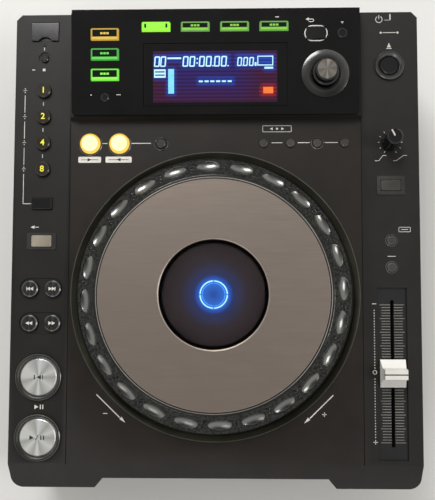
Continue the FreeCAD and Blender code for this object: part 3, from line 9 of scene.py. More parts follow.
import bpy
import numpy as np
from mathutils import Matrix, Vector


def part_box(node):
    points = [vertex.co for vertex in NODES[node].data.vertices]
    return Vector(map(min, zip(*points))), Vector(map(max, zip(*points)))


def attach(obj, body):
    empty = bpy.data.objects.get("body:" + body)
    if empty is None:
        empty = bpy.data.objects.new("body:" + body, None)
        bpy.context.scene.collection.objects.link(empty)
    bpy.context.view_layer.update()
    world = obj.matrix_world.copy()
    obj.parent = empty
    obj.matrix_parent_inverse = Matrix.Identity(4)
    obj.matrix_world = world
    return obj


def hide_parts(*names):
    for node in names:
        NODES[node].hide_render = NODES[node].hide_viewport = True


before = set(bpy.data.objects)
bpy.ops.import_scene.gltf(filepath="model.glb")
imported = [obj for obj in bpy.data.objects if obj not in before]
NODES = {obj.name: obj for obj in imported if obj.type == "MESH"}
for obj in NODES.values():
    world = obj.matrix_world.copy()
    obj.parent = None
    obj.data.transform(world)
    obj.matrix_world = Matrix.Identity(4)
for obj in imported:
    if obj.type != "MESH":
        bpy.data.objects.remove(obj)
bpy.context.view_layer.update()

MM = 0.001

# %% [markdown]
# ## The camera
# The photograph looks nearly straight down from about half a metre. A camera was fitted to the housing's
# outline and to the round wheel: its place, its slight lean and its focal length are written here as real
# sizes. The middle of the picture isn't on the lens's axis, so the lens is shifted a little.
# %% Camera
def stand(name, data):
    """A new object for a mesh, a curve, a lamp or a camera, put in the scene."""
    item = bpy.data.objects.new(name, data)
    bpy.context.scene.collection.objects.link(item)
    return item


LONG_SIDE_PX = 500.0
PICTURE_MIDDLE_PX = (217.5, 250.0)
FOCAL_PX = 633.72
AXIS_PX = (232.73, 279.37)
EYE = Vector((0.02301, -0.05068, 0.55666))
LEAN_X, LEAN_Y = 0.0576, 0.0206

camera_data = bpy.data.cameras.new("camera")
camera_data.sensor_width = 36.0
camera_data.lens = FOCAL_PX / LONG_SIDE_PX * camera_data.sensor_width
camera_data.shift_x = (PICTURE_MIDDLE_PX[0] - AXIS_PX[0]) / LONG_SIDE_PX
camera_data.shift_y = (AXIS_PX[1] - PICTURE_MIDDLE_PX[1]) / LONG_SIDE_PX
camera = stand("camera", camera_data)
camera.matrix_world = (Matrix.Translation(EYE) @ Matrix.Rotation(LEAN_X, 4, "X")
                       @ Matrix.Rotation(LEAN_Y, 4, "Y"))
bpy.context.scene.camera = camera
print("lens", round(camera_data.lens, 2), "mm")

# %% [markdown]
# ## Floor
# The player stands on a plain pale floor that takes its shadow. A backdrop with a curved rear would do too,
# but the camera looks down, so one flat square is enough. It is stage and no part of the player.
# %% Floor
def node_material(name):
    """A new material with its shader node, ready for links."""
    material = bpy.data.materials.new(name)
    material.use_nodes = True
    return material, material.node_tree, material.node_tree.nodes["Principled BSDF"]


def put(node, values):
    """Fills inputs by name or number: another node's output is linked, and any other value is set."""
    for name, value in values.items():
        if isinstance(value, bpy.types.NodeSocket):
            node.id_data.links.new(value, node.inputs[name])
        else:
            node.inputs[name].default_value = value


def box_middle(node):
    """The middle of a CAD node's box in plan, and its top, in metres."""
    low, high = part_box(node)
    return (low.x + high.x) / 2, (low.y + high.y) / 2, high.z


FLOOR_HALF = 3.0
FLOOR_CORNERS = ((-1, -1), (1, -1), (1, 1), (-1, 1))
floor_mesh = bpy.data.meshes.new("floor")
floor_mesh.from_pydata([(x * FLOOR_HALF, y * FLOOR_HALF, 0.0) for x, y in FLOOR_CORNERS], [], [(0, 1, 2, 3)])
floor = stand("floor", floor_mesh)
floor_finish, _, floor_shader = node_material("floor_finish")
put(floor_shader, {"Base Color": (0.80, 0.80, 0.79, 1), "Roughness": 0.7})
floor_mesh.materials.append(floor_finish)
print("floor", 2 * FLOOR_HALF, "m wide")

# %% [markdown]
# ## World
# An even grey world would light the player well enough, but polished hollows would look flat in it. This
# one is darkest straight above and brightest in a band round that and to the rear, so that a hollow shows
# a light and a dark side. The camera, mirrors and glass see another: white at the horizon, with a darker
# ceiling. That one lights nothing.
# %% World
def add(tree, kind, values, **settings):
    """A new shader node with its settings made and its inputs filled."""
    node = tree.nodes.new("ShaderNode" + kind)
    for name, choice in settings.items():
        setattr(node, name, choice)
    put(node, values)
    return node


def remap(tree, value, from_low, from_high, to_low, to_high):
    """A straight line from one range to another, held at its ends."""
    limits = {"From Min": from_low, "From Max": from_high, "To Min": to_low, "To Max": to_high}
    return add(tree, "MapRange", {"Value": value, **limits}).outputs["Result"]


def combine(tree, operation, first, second):
    """Two values made one, by MULTIPLY or by MAXIMUM."""
    return add(tree, "Math", {0: first, 1: second}, operation=operation).outputs[0]


world = bpy.data.worlds.new("studio")
bpy.context.scene.world = world
world.use_nodes = True
tree = world.node_tree
seen = tree.nodes.new("ShaderNodeLightPath").outputs
shown = seen["Is Camera Ray"]
for kind in ("Is Glossy Ray", "Is Transmission Ray"):
    shown = combine(tree, "MAXIMUM", shown, seen[kind])
soft, plain = tree.nodes["Background"], add(tree, "Background", {"Color": (1, 1, 1, 1)})
mixer = add(tree, "MixShader", {"Fac": shown, 1: soft.outputs[0], 2: plain.outputs[0]})
put(tree.nodes["World Output"], {"Surface": mixer.outputs[0]})

heading = add(tree, "SeparateXYZ", {"Vector": tree.nodes.new("ShaderNodeTexCoord").outputs["Generated"]})
up, rearward = heading.outputs["Z"], heading.outputs["Y"]
horizon, overhead = remap(tree, up, 0.45, 0.62, 0.16, 0.62), remap(tree, up, 0.84, 0.95, 1.0, 0.30)
band = combine(tree, "MULTIPLY", horizon, overhead)
glow = combine(tree, "MULTIPLY", band, remap(tree, rearward, -0.25, 0.45, 0.45, 1.5))
put(soft, {"Color": (1.0, 0.94, 0.84, 1), "Strength": glow})
high, dark = remap(tree, up, 0.62, 0.90, 0.0, 1.0), remap(tree, rearward, -0.25, 0.45, 0.06, 0.42)
ceiling = add(tree, "Mix", {"Factor": high, "A": 1.0, "B": dark})
put(plain, {"Strength": ceiling.outputs["Result"]})
print("world nodes", len(tree.nodes))

# %% [markdown]
# ## Lamps
# Three large soft lamps stand behind, to the right and in front. The one behind is the strongest and draws
# the bright edges of the caps. Small lamps would give hard spots on the gloss panel.
# %% Lamps
def lamp(name, place, aim, size, power):
    """A large square lamp that points at a place."""
    data = bpy.data.lights.new(name, "AREA")
    data.size, data.energy = size, power
    item = stand(name, data)
    item.location = place
    item.rotation_mode = "QUATERNION"
    item.rotation_quaternion = (Vector(aim) - Vector(place)).to_track_quat("-Z", "Y")


AIM = (0, 0, 0.08)
lamp("lamp_rear", (-0.35, 1.15, 1.15), AIM, 0.7, 17)
lamp("lamp_right", (1.3, -0.2, 1.2), AIM, 0.6, 9)
lamp("lamp_front", (-0.7, -1.3, 1.3), AIM, 0.9, 4)
bpy.context.scene.view_settings.view_transform = "Standard"
print("lamps", len(bpy.data.lights))

# %% [markdown]
# ## Finishes
# A moulded or metal surface is never one flat colour. Each finish below starts from a colour and a
# roughness, and noise on the piece's own coordinates varies both. A fine noise or wave raises the grain.
# A picture wrapped round each piece would do it too, but it needs an unwrapped surface.
# %% Places and patterns
def place_on_piece(tree):
    """The piece's own coordinates, in metres."""
    return tree.nodes.new("ShaderNodeTexCoord").outputs["Object"]


def along_axis(tree, letter):
    """One coordinate of the place on the piece."""
    return add(tree, "SeparateXYZ", {"Vector": place_on_piece(tree)}).outputs[letter]


def centred(tree, centre):
    """The place on the piece, measured from a centre in plan."""
    values = {"Vector": place_on_piece(tree), "Location": (-centre[0], -centre[1], 0)}
    return add(tree, "Mapping", values).outputs["Vector"]


def noise(tree, scale, detail=3.0, stretch=None):
    """Noise on the piece's own coordinates, stretched along an axis where asked."""
    source = place_on_piece(tree)
    if stretch:
        source = add(tree, "Mapping", {"Vector": source, "Scale": stretch}).outputs["Vector"]
    return add(tree, "TexNoise", {"Vector": source, "Scale": scale, "Detail": detail}).outputs["Fac"]


def ramp(tree, value, stops):
    """A colour ramp from stops of place and colour."""
    node = add(tree, "ValToRGB", {"Fac": value})
    while len(node.color_ramp.elements) < len(stops):
        node.color_ramp.elements.new(0.5)
    for element, (where, colour) in zip(node.color_ramp.elements, stops):
        element.position = where
        element.color = (*colour, 1)
    return node.outputs["Color"]


def blend(tree, share, first, second):
    """A mix of two colours; either may be another node's output or a plain colour."""
    first, second = ((*colour, 1) if isinstance(colour, tuple) else colour for colour in (first, second))
    return add(tree, "Mix", {"Factor": share, "A": first, "B": second}, data_type="RGBA").outputs["Result"]


def bump(tree, shader, height, distance, strength=1.0):
    """Raises a height pattern on a surface."""
    raised = add(tree, "Bump", {"Distance": distance, "Strength": strength, "Height": height})
    put(shader, {"Normal": raised.outputs["Normal"]})


def span(tree, value, low, high):
    """A value from 0 to 1 stretched to a range."""
    return remap(tree, value, 0.0, 1.0, low, high)


def vector_step(tree, operation, value, amount=None):
    """One step of arithmetic on a place. A length comes out as a number, anything else as a place."""
    values = {0: value} if amount is None else {0: value, 1: amount}
    node = add(tree, "VectorMath", values, operation=operation)
    return node.outputs["Value" if operation == "LENGTH" else "Vector"]


print("pattern helpers ready")

# %% [markdown]
# ### Moulded and lit
# Moulded plastic, paint and cast metal differ in colour, polish and grain, so one helper serves them all:
# wide clouds change the colour, narrower ones the polish, and a fine noise is the grain. A lit face is a
# dark cap with its own light, a little uneven, as a lamp behind it makes it.
# %% Moulded and lit
CLOUDS, POLISH, GRAIN, LAMP_CLOUDS = 45.0, 120.0, 1400.0, 160.0


def moulded(name, colour, roughness, depth=0.00004, vary=0.25, metallic=0.0):
    """Colour and roughness times 1 plus or minus a share of noise, over a grain of some height."""
    material, tree, shader = node_material(name)
    dark = tuple(c * (1 - vary) for c in colour)
    light = tuple(min(1.0, c * (1 + vary)) for c in colour)
    put(shader, {"Base Color": ramp(tree, noise(tree, CLOUDS), [(0.3, dark), (0.7, light)]),
                 "Roughness": span(tree, noise(tree, POLISH), roughness * 0.85, min(1.0, roughness * 1.15)),
                 "Metallic": metallic, "Specular IOR Level": 0.35})
    if depth:
        bump(tree, shader, noise(tree, GRAIN, 2.0), depth)
    return material


def lit(name, colour, strength):
    """A dark plastic with its own light, which noise dims by up to a fifth."""
    material, tree, shader = node_material(name)
    dim = tuple(c * 0.82 for c in colour)
    light = ramp(tree, noise(tree, LAMP_CLOUDS), [(0.25, dim), (0.75, colour)])
    put(shader, {"Base Color": (0.02, 0.02, 0.02, 1), "Roughness": 0.35, "Emission Color": light,
                 "Emission Strength": strength})
    return material


print("moulded and lit ready")

# %% [markdown]
# ### Turned metal
# The transport buttons and the selector are turned on a lathe, which leaves fine circles. A wave of the
# distance from the piece's own middle raises the circles and varies the polish. The bow tie of glints that
# light draws across the middle is painted: the angle about the middle picks painted light and dark rays.
# %% Turned metal
def turned_metal(name, centre, colour, roughness):
    """The distance from a centre drives a wave, and the angle about it paints glints and shade in rays."""
    material, tree, shader = node_material(name)
    place = centred(tree, centre)
    circles = add(tree, "TexWave", {"Vector": place, "Scale": 900.0, "Distortion": 0.6}, wave_type="RINGS",
                  rings_direction="Z").outputs["Fac"]
    around = add(tree, "TexGradient", {"Vector": place}, gradient_type="RADIAL").outputs["Fac"]
    # Painted glints and shade: rays of the colour made darker and brighter, in place of light on the turned
    # face.
    low, painted_side_glint, painted_far_glint = (tuple(min(1, c * share) for c in colour) for share in (0.62, 1.45, 1.5))
    painted_glint_rays = [(0.0, colour), (0.045, low), (0.13, colour), (0.21, low), (0.25, painted_side_glint), (0.29, low),
            (0.40, colour), (0.5, low), (0.56, colour), (0.64, low), (0.735, painted_far_glint), (0.78, low),
            (0.9, colour), (1.0, colour)]
    put(shader, {"Base Color": ramp(tree, around, painted_glint_rays), "Metallic": 1.0,
                 "Roughness": span(tree, circles, roughness, roughness * 1.4)})
    bump(tree, shader, circles, 0.00001, 0.5)
    return material


print("turned metal ready")

# %% [markdown]
# ### The housing
# The two columns are a matte black, and the deck between them is a shade warmer. Both are one moulding, so
# the place across it picks between two colours, with a step where a column meets the deck.
# %% Housing finish
COLUMN_STEP = (0.1094, 0.1098)


def deck_finish():
    """The distance from the middle line, mapped over the step to 0 and 1, mixes a warm and a cool black."""
    material, tree, shader = node_material("deck_black")
    across = add(tree, "Math", {0: along_axis(tree, "X")}, operation="ABSOLUTE").outputs[0]
    cloud = noise(tree, 35.0)
    warm = ramp(tree, cloud, [(0.3, (0.0085, 0.0060, 0.0045)), (0.7, (0.0125, 0.0090, 0.0066))])
    cool = ramp(tree, cloud, [(0.3, (0.0085, 0.0078, 0.0062)), (0.7, (0.0120, 0.0108, 0.0088))])
    put(shader, {"Base Color": blend(tree, remap(tree, across, *COLUMN_STEP, 0.0, 1.0), warm, cool),
                 "Roughness": span(tree, noise(tree, 90.0), 0.42, 0.56), "Specular IOR Level": 0.3})
    bump(tree, shader, noise(tree, 2600.0, 2.0), 0.00003)
    return material


HOUSING = deck_finish()
print("finish", HOUSING.name)

# %% [markdown]
# ### The metals
# The wheel's plate is a warm grey anodised metal, brushed one way: noise stretched along one axis gives its
# grain. The grip is dark chrome, mottled by a coarse grain. The sockets at the rear are bright metal, apart
# from the mains inlet, which is black plastic. It is in the same node, so its place picks its finish.
# %% Metal finishes
def plate_finish():
    """Long fine noise across the piece, in the colour, the roughness and the height."""
    material, tree, shader = node_material("plate_metal")
    grain = noise(tree, 60.0, 6.0, (1.0, 30.0, 1.0))
    tone = ramp(tree, grain, [(0.2, (0.285, 0.235, 0.200)), (0.8, (0.32, 0.267, 0.230))])
    put(shader, {"Base Color": tone, "Metallic": 0.8, "Roughness": span(tree, grain, 0.36, 0.46)})
    bump(tree, shader, grain, 0.00001, 0.5)
    return material


def jack_finish():
    """Bright metal, and black plastic to the left of a set place."""
    material, tree, shader = node_material("jack_metal")
    metal = remap(tree, along_axis(tree, "X"), -0.0502, -0.0498, 0.0, 1.0)
    tone = ramp(tree, metal, [(0.0, (0.012, 0.012, 0.012)), (1.0, (0.60, 0.57, 0.52))])
    put(shader, {"Base Color": tone, "Metallic": metal,
                 "Roughness": span(tree, noise(tree, 120.0), 0.2, 0.34)})
    return material


def grip_finish():
    """Coarse noise mottles the colour, and the metal stays polished."""
    material, tree, shader = node_material("grip_dark")
    tone = ramp(tree, noise(tree, 700.0, 4.0), [(0.38, (0.012, 0.012, 0.011)), (0.62, (0.042, 0.042, 0.038))])
    put(shader, {"Base Color": tone, "Metallic": 0.92,
                 "Roughness": span(tree, noise(tree, 300.0), 0.10, 0.20)})
    return material


PLATE = plate_finish()
JACK = jack_finish()
GRIP = grip_finish()
RING = moulded("ring_dark", (0.095, 0.095, 0.092), 0.17, depth=0, metallic=0.75)
ZINC = moulded("zinc_sheet", (0.45, 0.46, 0.47), 0.35, metallic=0.9)
# The hollows' chrome is paler than the rest of the grip: a painted sheen for the light they catch.
HOLLOW_SHEEN = moulded("grip_hollow_painted_sheen", (0.17, 0.17, 0.16), 0.24, depth=0, metallic=0.92, vary=0.1)
print("metal finishes", 6)

# %% [markdown]
# ### Plastics and paints
# The display panel is gloss black, so it has no grain. The caps have a very low one, the tray and the feet
# a deeper one. Some caps are painted: a little metal in the finish makes the paint look metallic.
# %% Plastics and paints
FINE = 0.00001
GLOSS = moulded("gloss_black", (0.0045, 0.0040, 0.0040), 0.09, depth=0)
TRAY = moulded("tray_paint", (0.016, 0.016, 0.016), 0.5)
RUBBER = moulded("foot_rubber", (0.012, 0.012, 0.012), 0.85)
BOARD = moulded("board_green", (0.012, 0.10, 0.045), 0.45)
DEEP = moulded("deep_black", (0.004, 0.004, 0.004), 0.6)
BEZEL = moulded("bezel_dark", (0.060, 0.060, 0.046), 0.42, depth=FINE)
SATIN = moulded("satin_black", (0.008, 0.008, 0.0085), 0.24, depth=FINE)
# The beat keys' black is tinted warm: a painted glow and highlight from the yellow light of their lamps.
GLOW_TINTED_BLACK = moulded("cap_black_painted_glow", (0.020, 0.017, 0.009), 0.26, depth=FINE)
SILVER = moulded("cap_silver", (0.44, 0.42, 0.38), 0.34, depth=FINE, metallic=0.55)
SLATE = moulded("cap_slate", (0.075, 0.072, 0.066), 0.26, depth=FINE, metallic=0.4)
BEIGE = moulded("cap_beige", (0.36, 0.32, 0.26), 0.38, depth=FINE, metallic=0.35)
FADER = moulded("fader_silver", (0.86, 0.85, 0.81), 0.33, depth=FINE, metallic=0.15, vary=0.08)
WHITE_INK = moulded("white_ink", (0.62, 0.62, 0.60), 0.55, depth=0)
DARK_INK = moulded("dark_ink", (0.03, 0.03, 0.03), 0.5, depth=0)
LADDER_INK = moulded("ladder_ink", (0.27, 0.26, 0.23), 0.5, depth=0)
LABEL = moulded("label_white", (0.72, 0.70, 0.66), 0.5, depth=0)
SHADE = moulded("label_shade", (0.002, 0.006, 0.003), 0.12, depth=0)
print("materials so far", len(bpy.data.materials))

# %% [markdown]
# ### Lit faces and clear plastic
# The lamp under a coloured cap shows most at its front edge, so each lit colour has a paler, brighter one
# for its edge. The wheel's window is clear: it lets light through, and a low index of refraction keeps what
# lies under it in its place.
# %% Lit faces
AMBER = lit("lit_amber", (0.62, 0.37, 0.03), 1.0)
AMBER_EDGE = lit("lit_amber_edge", (0.90, 0.58, 0.06), 1.0)
GREEN = lit("lit_green", (0.05, 0.42, 0.045), 1.0)
GREEN_EDGE = lit("lit_green_edge", (0.13, 0.85, 0.07), 1.0)
LIME = lit("lit_lime", (0.17, 0.85, 0.05), 1.0)
LIME_EDGE = lit("lit_lime_edge", (0.30, 1.0, 0.07), 1.15)
BRIGHT = lit("lit_bright", (0.32, 1.0, 0.02), 1.1)
OLIVE = lit("lit_olive", (0.14, 0.40, 0.06), 1.0)
OLIVE_EDGE = lit("lit_olive_edge", (0.25, 0.72, 0.03), 1.0)
HOT = lit("lit_hot", (1.0, 0.90, 0.42), 1.6)
HOT_RIM = lit("lit_hot_rim", (1.0, 0.62, 0.08), 1.15)
CYAN = lit("lit_cyan", (0.55, 0.95, 1.0), 1.2)
BLUE = lit("lit_blue", (0.10, 0.45, 1.0), 2.0)
BAR = lit("lit_bar", (0.22, 0.80, 1.0), 1.05)
ORANGE = lit("lit_orange", (1.0, 0.20, 0.01), 1.05)
YELLOW = lit("lit_yellow", (0.95, 0.85, 0.06), 1.2)

CLEAR, _, clear_shader = node_material("clear_plastic")
put(clear_shader, {"Base Color": (1, 1, 1, 1), "Roughness": 0.02, "IOR": 1.2, "Transmission Weight": 1.0})
print("materials so far", len(bpy.data.materials))

# %% [markdown]
# ### Smooth shading for the CAD nodes
# A CAD node is a mesh of loose triangles. A small node group merges their corners and shades the curved
# stretches smooth, and keeps every edge sharper than a set angle. The mesh itself stays as it is.
# %% Smoothing group
SHARP_ANGLE = math.radians(32)


def smoothing_group():
    """Merges corners, then marks edges sharper than the angle as sharp and shades all faces smooth."""
    group = bpy.data.node_groups.new("smooth_shading", "GeometryNodeTree")
    for way in ("INPUT", "OUTPUT"):
        group.interface.new_socket("Geometry", in_out=way, socket_type="NodeSocketGeometry")
    start, end, merge, faces, edges, angle, compare = (group.nodes.new(kind) for kind in (
        "NodeGroupInput", "NodeGroupOutput", "GeometryNodeMergeByDistance", "GeometryNodeSetShadeSmooth",
        "GeometryNodeSetShadeSmooth", "GeometryNodeInputMeshEdgeAngle", "FunctionNodeCompare"))
    edges.domain, compare.operation = "EDGE", "GREATER_THAN"
    put(merge, {"Geometry": start.outputs[0], "Distance": 2e-6})
    put(faces, {"Geometry": merge.outputs[0]})
    put(compare, {0: angle.outputs["Unsigned Angle"], 1: SHARP_ANGLE})
    put(edges, {"Geometry": faces.outputs[0], "Selection": compare.outputs[0], "Shade Smooth": False})
    put(end, {0: edges.outputs[0]})
    return group


SMOOTH = smoothing_group()
print("edges stay sharp over", round(math.degrees(SHARP_ANGLE)), "degrees")

# %% [markdown]
# ## Dressing the nodes
# Each node of the construction gets its finish by name. The transport buttons are turned metal with painted
# glints, and each needs its own material, because its circles and glints run round its own middle.
# %% Dressing the nodes
def dress(material, *names):
    """Gives CAD nodes a finish and smooth shading."""
    for name in names:
        node = NODES[name]
        node.data.materials.clear()
        node.data.materials.append(material)
        smooth = node.modifiers.new("smooth", "NODES")
        smooth.node_group = SMOOTH


dress(HOUSING, "top_cover", "front_panel")
dress(GLOSS, "display_panel", "display_module")
dress(TRAY, "base_tray")
dress(RUBBER, "feet")
dress(BOARD, "circuit_boards")
dress(ZINC, "drive_base", "drive_cover", "usb_port")
dress(JACK, "rear_jacks")
dress(DEEP, "fader_plate", "jog_post", "jog_display", "disc_hub")
dress(RING, "trim_rings", "jog_ring")
dress(BEZEL, "jog_bezel")
dress(PLATE, "jog_platter")
dress(CLEAR, "jog_window")
dress(SATIN, "speed_knob", "usb_cover", "power_button", "selector_shaft", "selector_knob", "beat_select",
      "usb_stop", "time_mode", "eject", "back", "tag_track")
dress(GLOW_TINTED_BLACK, "beat_1", "beat_2", "beat_4", "beat_8")
dress(SLATE, "reloop", "call_back", "call_forward", "delete", "memory", "tempo_range", "master_tempo",
      "jog_mode")
dress(BEIGE, "direction")
dress(FADER, "fader_cap")
dress(AMBER, "link_source")
dress(GREEN, "usb_source")
dress(LIME, "disc_source")
dress(BRIGHT, "browse")
dress(OLIVE, "tag_list", "info", "menu")
dress(HOT_RIM, "loop_in", "loop_out")
TRANSPORT = (((0.93, 0.93, 0.88), 0.36, ("cue", "play")),
             ((0.13, 0.135, 0.13), 0.22, ("track_back", "track_forward", "search_back", "search_forward")))
for colour, roughness, names in TRANSPORT:
    for name in names:
        dress(turned_metal(name + "_metal", box_middle(name)[:2], colour, roughness), name)
print("dressed", len(NODES))

# %% [markdown]
# ## A kit for printed and lit shapes
# Print, lamps and figures are thin closed plates. Each is an outline in millimetres with a low and a high
# level, and one of three maps carries it to the deck, to the sloping panel or to the wheel. So a shape is
# drawn flat, where it is easy to measure, and takes its tilt and its height from the map.
# %% Three maps
DECK = 0.086
PANEL_TILT = math.radians(3.96)
PANEL_FRONT = (0.099, 0.0925)
JOG_Y = round(box_middle("jog_platter")[1], 4)


def on_deck(points):
    """Deck millimetres to metres: across, along and height over the deck."""
    return points * MM + np.array([0, 0, DECK])


def on_panel(points):
    """Panel millimetres to metres: across, up the slope and height over its face, turned by the tilt."""
    x, along, rise = points[:, 0] * MM, points[:, 1] * MM, points[:, 2] * MM
    cos, sin = math.cos(PANEL_TILT), math.sin(PANEL_TILT)
    rearward, up = along * cos - rise * sin, along * sin + rise * cos
    return np.stack([x, PANEL_FRONT[0] + rearward, PANEL_FRONT[1] + up], 1)


def wheel(points):
    """Wheel millimetres to metres: from the wheel's axis, and height over the deck."""
    return points * MM + np.array([0, JOG_Y, DECK])


print("wheel's axis at", JOG_Y, "m, deck at", DECK, "m")

# %% [markdown]
# ### Plates
# A flat shape could lie on the surface as a single sheet, but a sheet has no thickness and flickers where
# it touches. So each outline is drawn at two levels and closed with a wall, a few hundredths of a
# millimetre high for ink.
# %% Plates
def plates(name, outlines, low, high, place, material, body="root"):
    """Closed plates: each outline at a low and a high level, with a cap on both and a wall between."""
    points, faces = [], []
    for ring in outlines:
        ring = np.asarray(ring, float)
        area = np.sum(ring[:, 0] * np.roll(ring[:, 1], -1) - np.roll(ring[:, 0], -1) * ring[:, 1])
        if area < 0:
            ring = ring[::-1]
        count, start = len(ring), len(points)
        points += [(*p, low) for p in ring] + [(*p, high) for p in ring]
        foot = [start + k for k in range(count)]
        head = [start + count + k for k in range(count)]
        faces.append(foot[::-1])
        faces.append(head)
        faces += [[foot[k], foot[(k + 1) % count], head[(k + 1) % count], head[k]] for k in range(count)]
    mesh = bpy.data.meshes.new(name)
    mesh.from_pydata(place(np.array(points, float)), [], faces)
    mesh.materials.append(material)
    item = stand(name, mesh)
    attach(item, body)


INK_LOW, INK_HIGH = -0.02, 0.05
print("ink stands", INK_HIGH, "mm over its surface")

# %% [markdown]
# ### Outlines
# The shapes that print and lamps are made of: rectangles, strokes, discs, arcs and arrows.
# %% Outlines
def rect(x0, x1, y0, y1):
    """A rectangle from its sides."""
    return [(x0, y0), (x1, y0), (x1, y1), (x0, y1)]


def frame_of(x0, x1, y0, y1, line):
    """The four sides of a rectangle as thin lines inside it."""
    return [rect(x0, x1, y0, y0 + line), rect(x0, x1, y1 - line, y1), rect(x0, x0 + line, y0, y1),
            rect(x1 - line, x1, y0, y1)]


def soft_rect(x0, x1, y0, y1, r, steps=5):
    """A rectangle whose corners are quarter circles."""
    quarter = math.pi / 2
    angles = np.linspace(0, quarter, steps)
    corners = ((x1 - r, y1 - r, 0), (x0 + r, y1 - r, 1), (x0 + r, y0 + r, 2), (x1 - r, y0 + r, 3))
    return [(cx + r * math.cos(a + k * quarter), cy + r * math.sin(a + k * quarter))
            for cx, cy, k in corners for a in angles]


def stroke(a, b, width):
    """A straight stroke between two points."""
    a, b = np.array(a, float), np.array(b, float)
    along = (b - a) / np.linalg.norm(b - a)
    side = np.array([-along[1], along[0]]) * width / 2
    return [a - side, b - side, b + side, a + side]


def disc(x, y, r, count):
    """A round outline."""
    angles = np.arange(count) * math.tau / count
    return np.stack([x + r * np.cos(angles), y + r * np.sin(angles)], 1)


def arc(x, y, inner, outer, start=0.0, end=360.0, steps=18):
    """A ring or part of one, as one band of short pieces between two radii."""
    angles = np.radians(np.linspace(start, end, steps + 1))
    near = np.stack([x + inner * np.cos(angles), y + inner * np.sin(angles)], 1)
    far = np.stack([x + outer * np.cos(angles), y + outer * np.sin(angles)], 1)
    return [[near[k], far[k], far[k + 1], near[k + 1]] for k in range(steps)]


def arrow(x, y, length, height, turn=0.0):
    """A triangle with its tip along a direction in degrees."""
    a = math.radians(turn)
    shape = ((length / 2, 0), (-length / 2, height / 2), (-length / 2, -height / 2))
    return [(x + u * math.cos(a) - v * math.sin(a), y + u * math.sin(a) + v * math.cos(a)) for u, v in shape]


print("outlines: rectangle, frame, soft rectangle, stroke, disc, arc, arrow")

# %% [markdown]
# ## The wheel's grip
# The moulded ring has two dozen oval hollows for the fingertips and three small beads between each pair.
# It is one surface: the angle runs round the wheel and the other parameter runs along the profile. The
# hollows and beads are heights that are added along the slope's normal.
# %% Wheel grip
DIMPLES = 24
DIMPLE_TURN = math.radians(2.6)
SHOULDER = np.array([100.6, 9.6])
CREST = np.array([86.6, 18.4])
HOLLOW_HALF_WIDTH, HOLLOW_HALF_LENGTH, HOLLOW_DEPTH = 5.0, 8.6, 2.1
BEAD_RADIUS, BEAD_STEP, BEAD_LEAN, BEAD_HEIGHT = 0.9, 3.1, 0.9, 0.85
SKIRT = ((103.0, -5.6), (103.0, -2.0), (103.0, 1.4), (102.86, 2.3), (102.3, 4.0), (101.6, 6.6), (101.0, 8.5))
CROWN = ((86.5, 18.40), (86.1, 18.5), (85.7, 18.45), (85.45, 18.1), (85.45, 17.0))
INSIDE = ((88.0, 13.4), (97.0, 6.4), (99.6, 1.4), (101.0, 0.0), (101.0, -5.6))


def grip_surface(rounds=1320, steps=46):
    """A closed profile turned about the axis. On the slope, u is the way up it and v the way round it from a
    hollow's middle, in millimetres. A hollow sinks by a bowl of (u / half width)^2 + (v / half length)^2, and
    a bead rises by a part of a ball."""
    up_slope = (CREST - SHOULDER) / np.linalg.norm(CREST - SHOULDER)
    out_of_slope = np.array([up_slope[1], -up_slope[0]])
    slope = SHOULDER + (CREST - SHOULDER) * np.linspace(0.05, 0.97, steps)[:, None]
    profile = np.concatenate([SKIRT, slope, CROWN, INSIDE])
    outside = (np.arange(len(profile)) < len(SKIRT) + steps + len(CROWN))[:, None]
    angle = np.arange(rounds) * math.tau / rounds
    pitch = math.tau / DIMPLES
    phase = (angle - math.pi / 2 - DIMPLE_TURN + pitch / 2) % pitch - pitch / 2
    u = ((profile - (SHOULDER + CREST) / 2) @ up_slope)[:, None]
    v = phase * profile[:, :1]
    bowl = (u / HOLLOW_HALF_WIDTH) ** 2 + (v / HOLLOW_HALF_LENGTH) ** 2
    lift = -HOLLOW_DEPTH * np.clip(1 - bowl, 0, 1) ** 0.8
    between = (phase % pitch - pitch / 2) * profile[:, :1]
    for k in (-1, 0, 1):
        room = BEAD_RADIUS ** 2 - (u - k * BEAD_STEP) ** 2 - (between - k * BEAD_LEAN) ** 2
        lift = np.where(room > 0, np.sqrt(np.clip(room, 0, None)) * BEAD_HEIGHT, lift)
    lift = np.where(outside, lift, 0)
    radius = profile[:, :1] + lift * out_of_slope[0]
    height = profile[:, 1:] + lift * out_of_slope[1]
    return np.stack([radius * np.cos(angle), radius * np.sin(angle), height], 2), (bowl < 0.97) & outside


print("hollows", DIMPLES, "beads", 3 * DIMPLES)

# %% [markdown]
# ### From the grid to a mesh
# The points lie in rows along the profile and columns round the wheel. Each face joins four neighbours, and
# the last row and column join the first, so the surface is closed. A material index per face gives the
# hollows a paler chrome than the rest, as a painted sheen for the light they catch.
# %% Grip mesh
def grid_mesh(name, grid):
    """Faces between the rows and columns of a grid of points that closes on itself both ways."""
    rows, columns = grid.shape[:2]
    here = np.arange(rows * columns).reshape(rows, columns)
    beside, above = np.roll(here, -1, 1), np.roll(here, -1, 0)
    quads = np.stack([here, beside, np.roll(above, -1, 1), above], 2).reshape(-1, 4)
    mesh = bpy.data.meshes.new(name)
    mesh.vertices.add(rows * columns)
    mesh.vertices.foreach_set("co", grid.reshape(-1).astype(np.float32))
    mesh.loops.add(quads.size)
    mesh.loops.foreach_set("vertex_index", quads.reshape(-1).astype(np.int32))
    mesh.polygons.add(len(quads))
    mesh.polygons.foreach_set("loop_start", np.arange(0, quads.size, 4, dtype=np.int32))
    mesh.polygons.foreach_set("use_smooth", np.ones(len(quads), bool))
    mesh.update(calc_edges=True)
    return mesh


